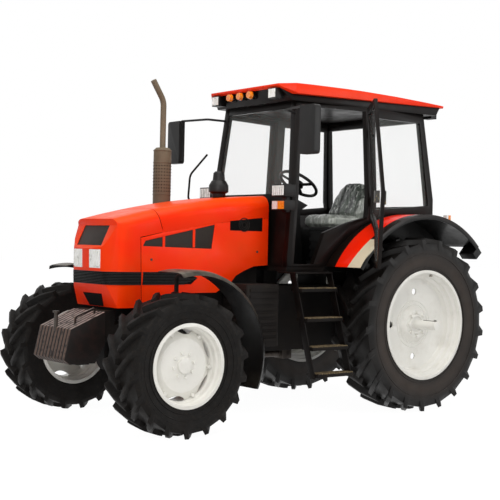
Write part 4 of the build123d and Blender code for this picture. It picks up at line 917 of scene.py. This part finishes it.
# ------------------------------------------------------------------ camera, floor and light
def stage_camera():
    """Camera at half height, from the front left, rolled a little."""
    yaw, pitch, roll = math.radians(231.40032), math.radians(-0.389808), math.radians(1.279288)
    look = Vector((math.cos(yaw) * math.cos(pitch), math.sin(yaw) * math.cos(pitch), math.sin(pitch)))
    right = look.cross(Vector((0, 0, 1))).normalized()
    up = right.cross(look)
    right, up = (
        math.cos(roll) * right + math.sin(roll) * up,
        math.cos(roll) * up - math.sin(roll) * right,
    )
    data = bpy.data.cameras.new("camera")
    data.lens = 78.109
    data.sensor_width = 36.0
    camera = bpy.data.objects.new("camera", data)
    turn = Matrix((right, up, -look)).transposed().to_4x4()
    camera.matrix_world = Matrix.Translation((7.788754, 8.125438, 1.583774)) @ turn
    bpy.context.scene.collection.objects.link(camera)
    bpy.context.scene.camera = camera


def seen_directly(tree):
    """1 for rays from the camera, from gloss or through glass."""
    path = tree.nodes.new("ShaderNodeLightPath")
    first = tree.nodes.new("ShaderNodeMath")
    first.operation = "MAXIMUM"
    second = tree.nodes.new("ShaderNodeMath")
    second.operation = "MAXIMUM"
    tree.links.new(path.outputs["Is Camera Ray"], first.inputs[0])
    tree.links.new(path.outputs["Is Glossy Ray"], first.inputs[1])
    tree.links.new(first.outputs[0], second.inputs[0])
    tree.links.new(path.outputs["Is Transmission Ray"], second.inputs[1])
    return second.outputs[0]


FLOOR_GLOW = 1.12
FLOOR_GLOW_SHARE = 0.87
SURROUND_LIGHT = 0.30


def stage_floor():
    """Pale floor that keeps the shadow and fades into a white surround."""
    bm = bmesh.new()
    bmesh.ops.create_grid(bm, x_segments=2, y_segments=2, size=60)
    mesh = bpy.data.meshes.new("floor")
    bm.to_mesh(mesh)
    bm.free()
    floor = bpy.data.objects.new("floor", mesh)
    bpy.context.scene.collection.objects.link(floor)
    material = bpy.data.materials.new("floor_white")
    material.use_nodes = True
    tree = material.node_tree
    tree.nodes.clear()
    matt = tree.nodes.new("ShaderNodeBsdfDiffuse")
    matt.inputs["Color"].default_value = (0.85, 0.85, 0.85, 1)
    glow = tree.nodes.new("ShaderNodeEmission")
    glow.inputs["Color"].default_value = (1, 1, 1, 1)
    glow.inputs["Strength"].default_value = FLOOR_GLOW
    share = tree.nodes.new("ShaderNodeMath")
    share.operation = "MULTIPLY"
    share.inputs[1].default_value = FLOOR_GLOW_SHARE
    mix = tree.nodes.new("ShaderNodeMixShader")
    out = tree.nodes.new("ShaderNodeOutputMaterial")
    tree.links.new(seen_directly(tree), share.inputs[0])
    tree.links.new(share.outputs[0], mix.inputs[0])
    tree.links.new(matt.outputs[0], mix.inputs[1])
    tree.links.new(glow.outputs[0], mix.inputs[2])
    tree.links.new(mix.outputs[0], out.inputs["Surface"])
    mesh.materials.append(material)


def stage_world():
    """Even surround: white to the eye, softer as a light."""
    world = bpy.data.worlds.new("surround")
    world.use_nodes = True
    bpy.context.scene.world = world
    tree = world.node_tree
    tree.nodes.clear()
    soft = tree.nodes.new("ShaderNodeBackground")
    soft.inputs["Color"].default_value = (1, 1, 1, 1)
    soft.inputs["Strength"].default_value = SURROUND_LIGHT
    white = tree.nodes.new("ShaderNodeBackground")
    white.inputs["Color"].default_value = (1, 1, 1, 1)
    white.inputs["Strength"].default_value = 1.0
    mix = tree.nodes.new("ShaderNodeMixShader")
    out = tree.nodes.new("ShaderNodeOutputWorld")
    tree.links.new(seen_directly(tree), mix.inputs[0])
    tree.links.new(soft.outputs[0], mix.inputs[1])
    tree.links.new(white.outputs[0], mix.inputs[2])
    tree.links.new(mix.outputs[0], out.inputs["Surface"])


def stage_lamp(name, place, aim, size, power, colour=(1, 1, 1)):
    """Soft box that looks at a point."""
    data = bpy.data.lights.new(name, "AREA")
    data.shape = "RECTANGLE"
    data.size, data.size_y = size
    data.energy = power
    data.color = colour
    lamp = bpy.data.objects.new(name, data)
    lamp.location = place
    lamp.rotation_euler = (Vector(aim) - Vector(place)).to_track_quat("-Z", "Y").to_euler()
    bpy.context.scene.collection.objects.link(lamp)


stage_camera()
stage_floor()
stage_world()
stage_lamp("overhead", (2.5, 2.5, 7.5), (1.2, 0, 1.0), (6, 6), 330, (1.0, 0.97, 0.93))
stage_lamp("front_left", (7.5, 5.5, 4.0), (1.6, 0, 1.2), (3, 3), 170, (1.0, 0.98, 0.96))
stage_lamp("left_fill", (-3.5, 7.5, 3.5), (0.3, 0, 1.2), (4, 3), 120)
bpy.context.scene.view_settings.view_transform = "Standard"
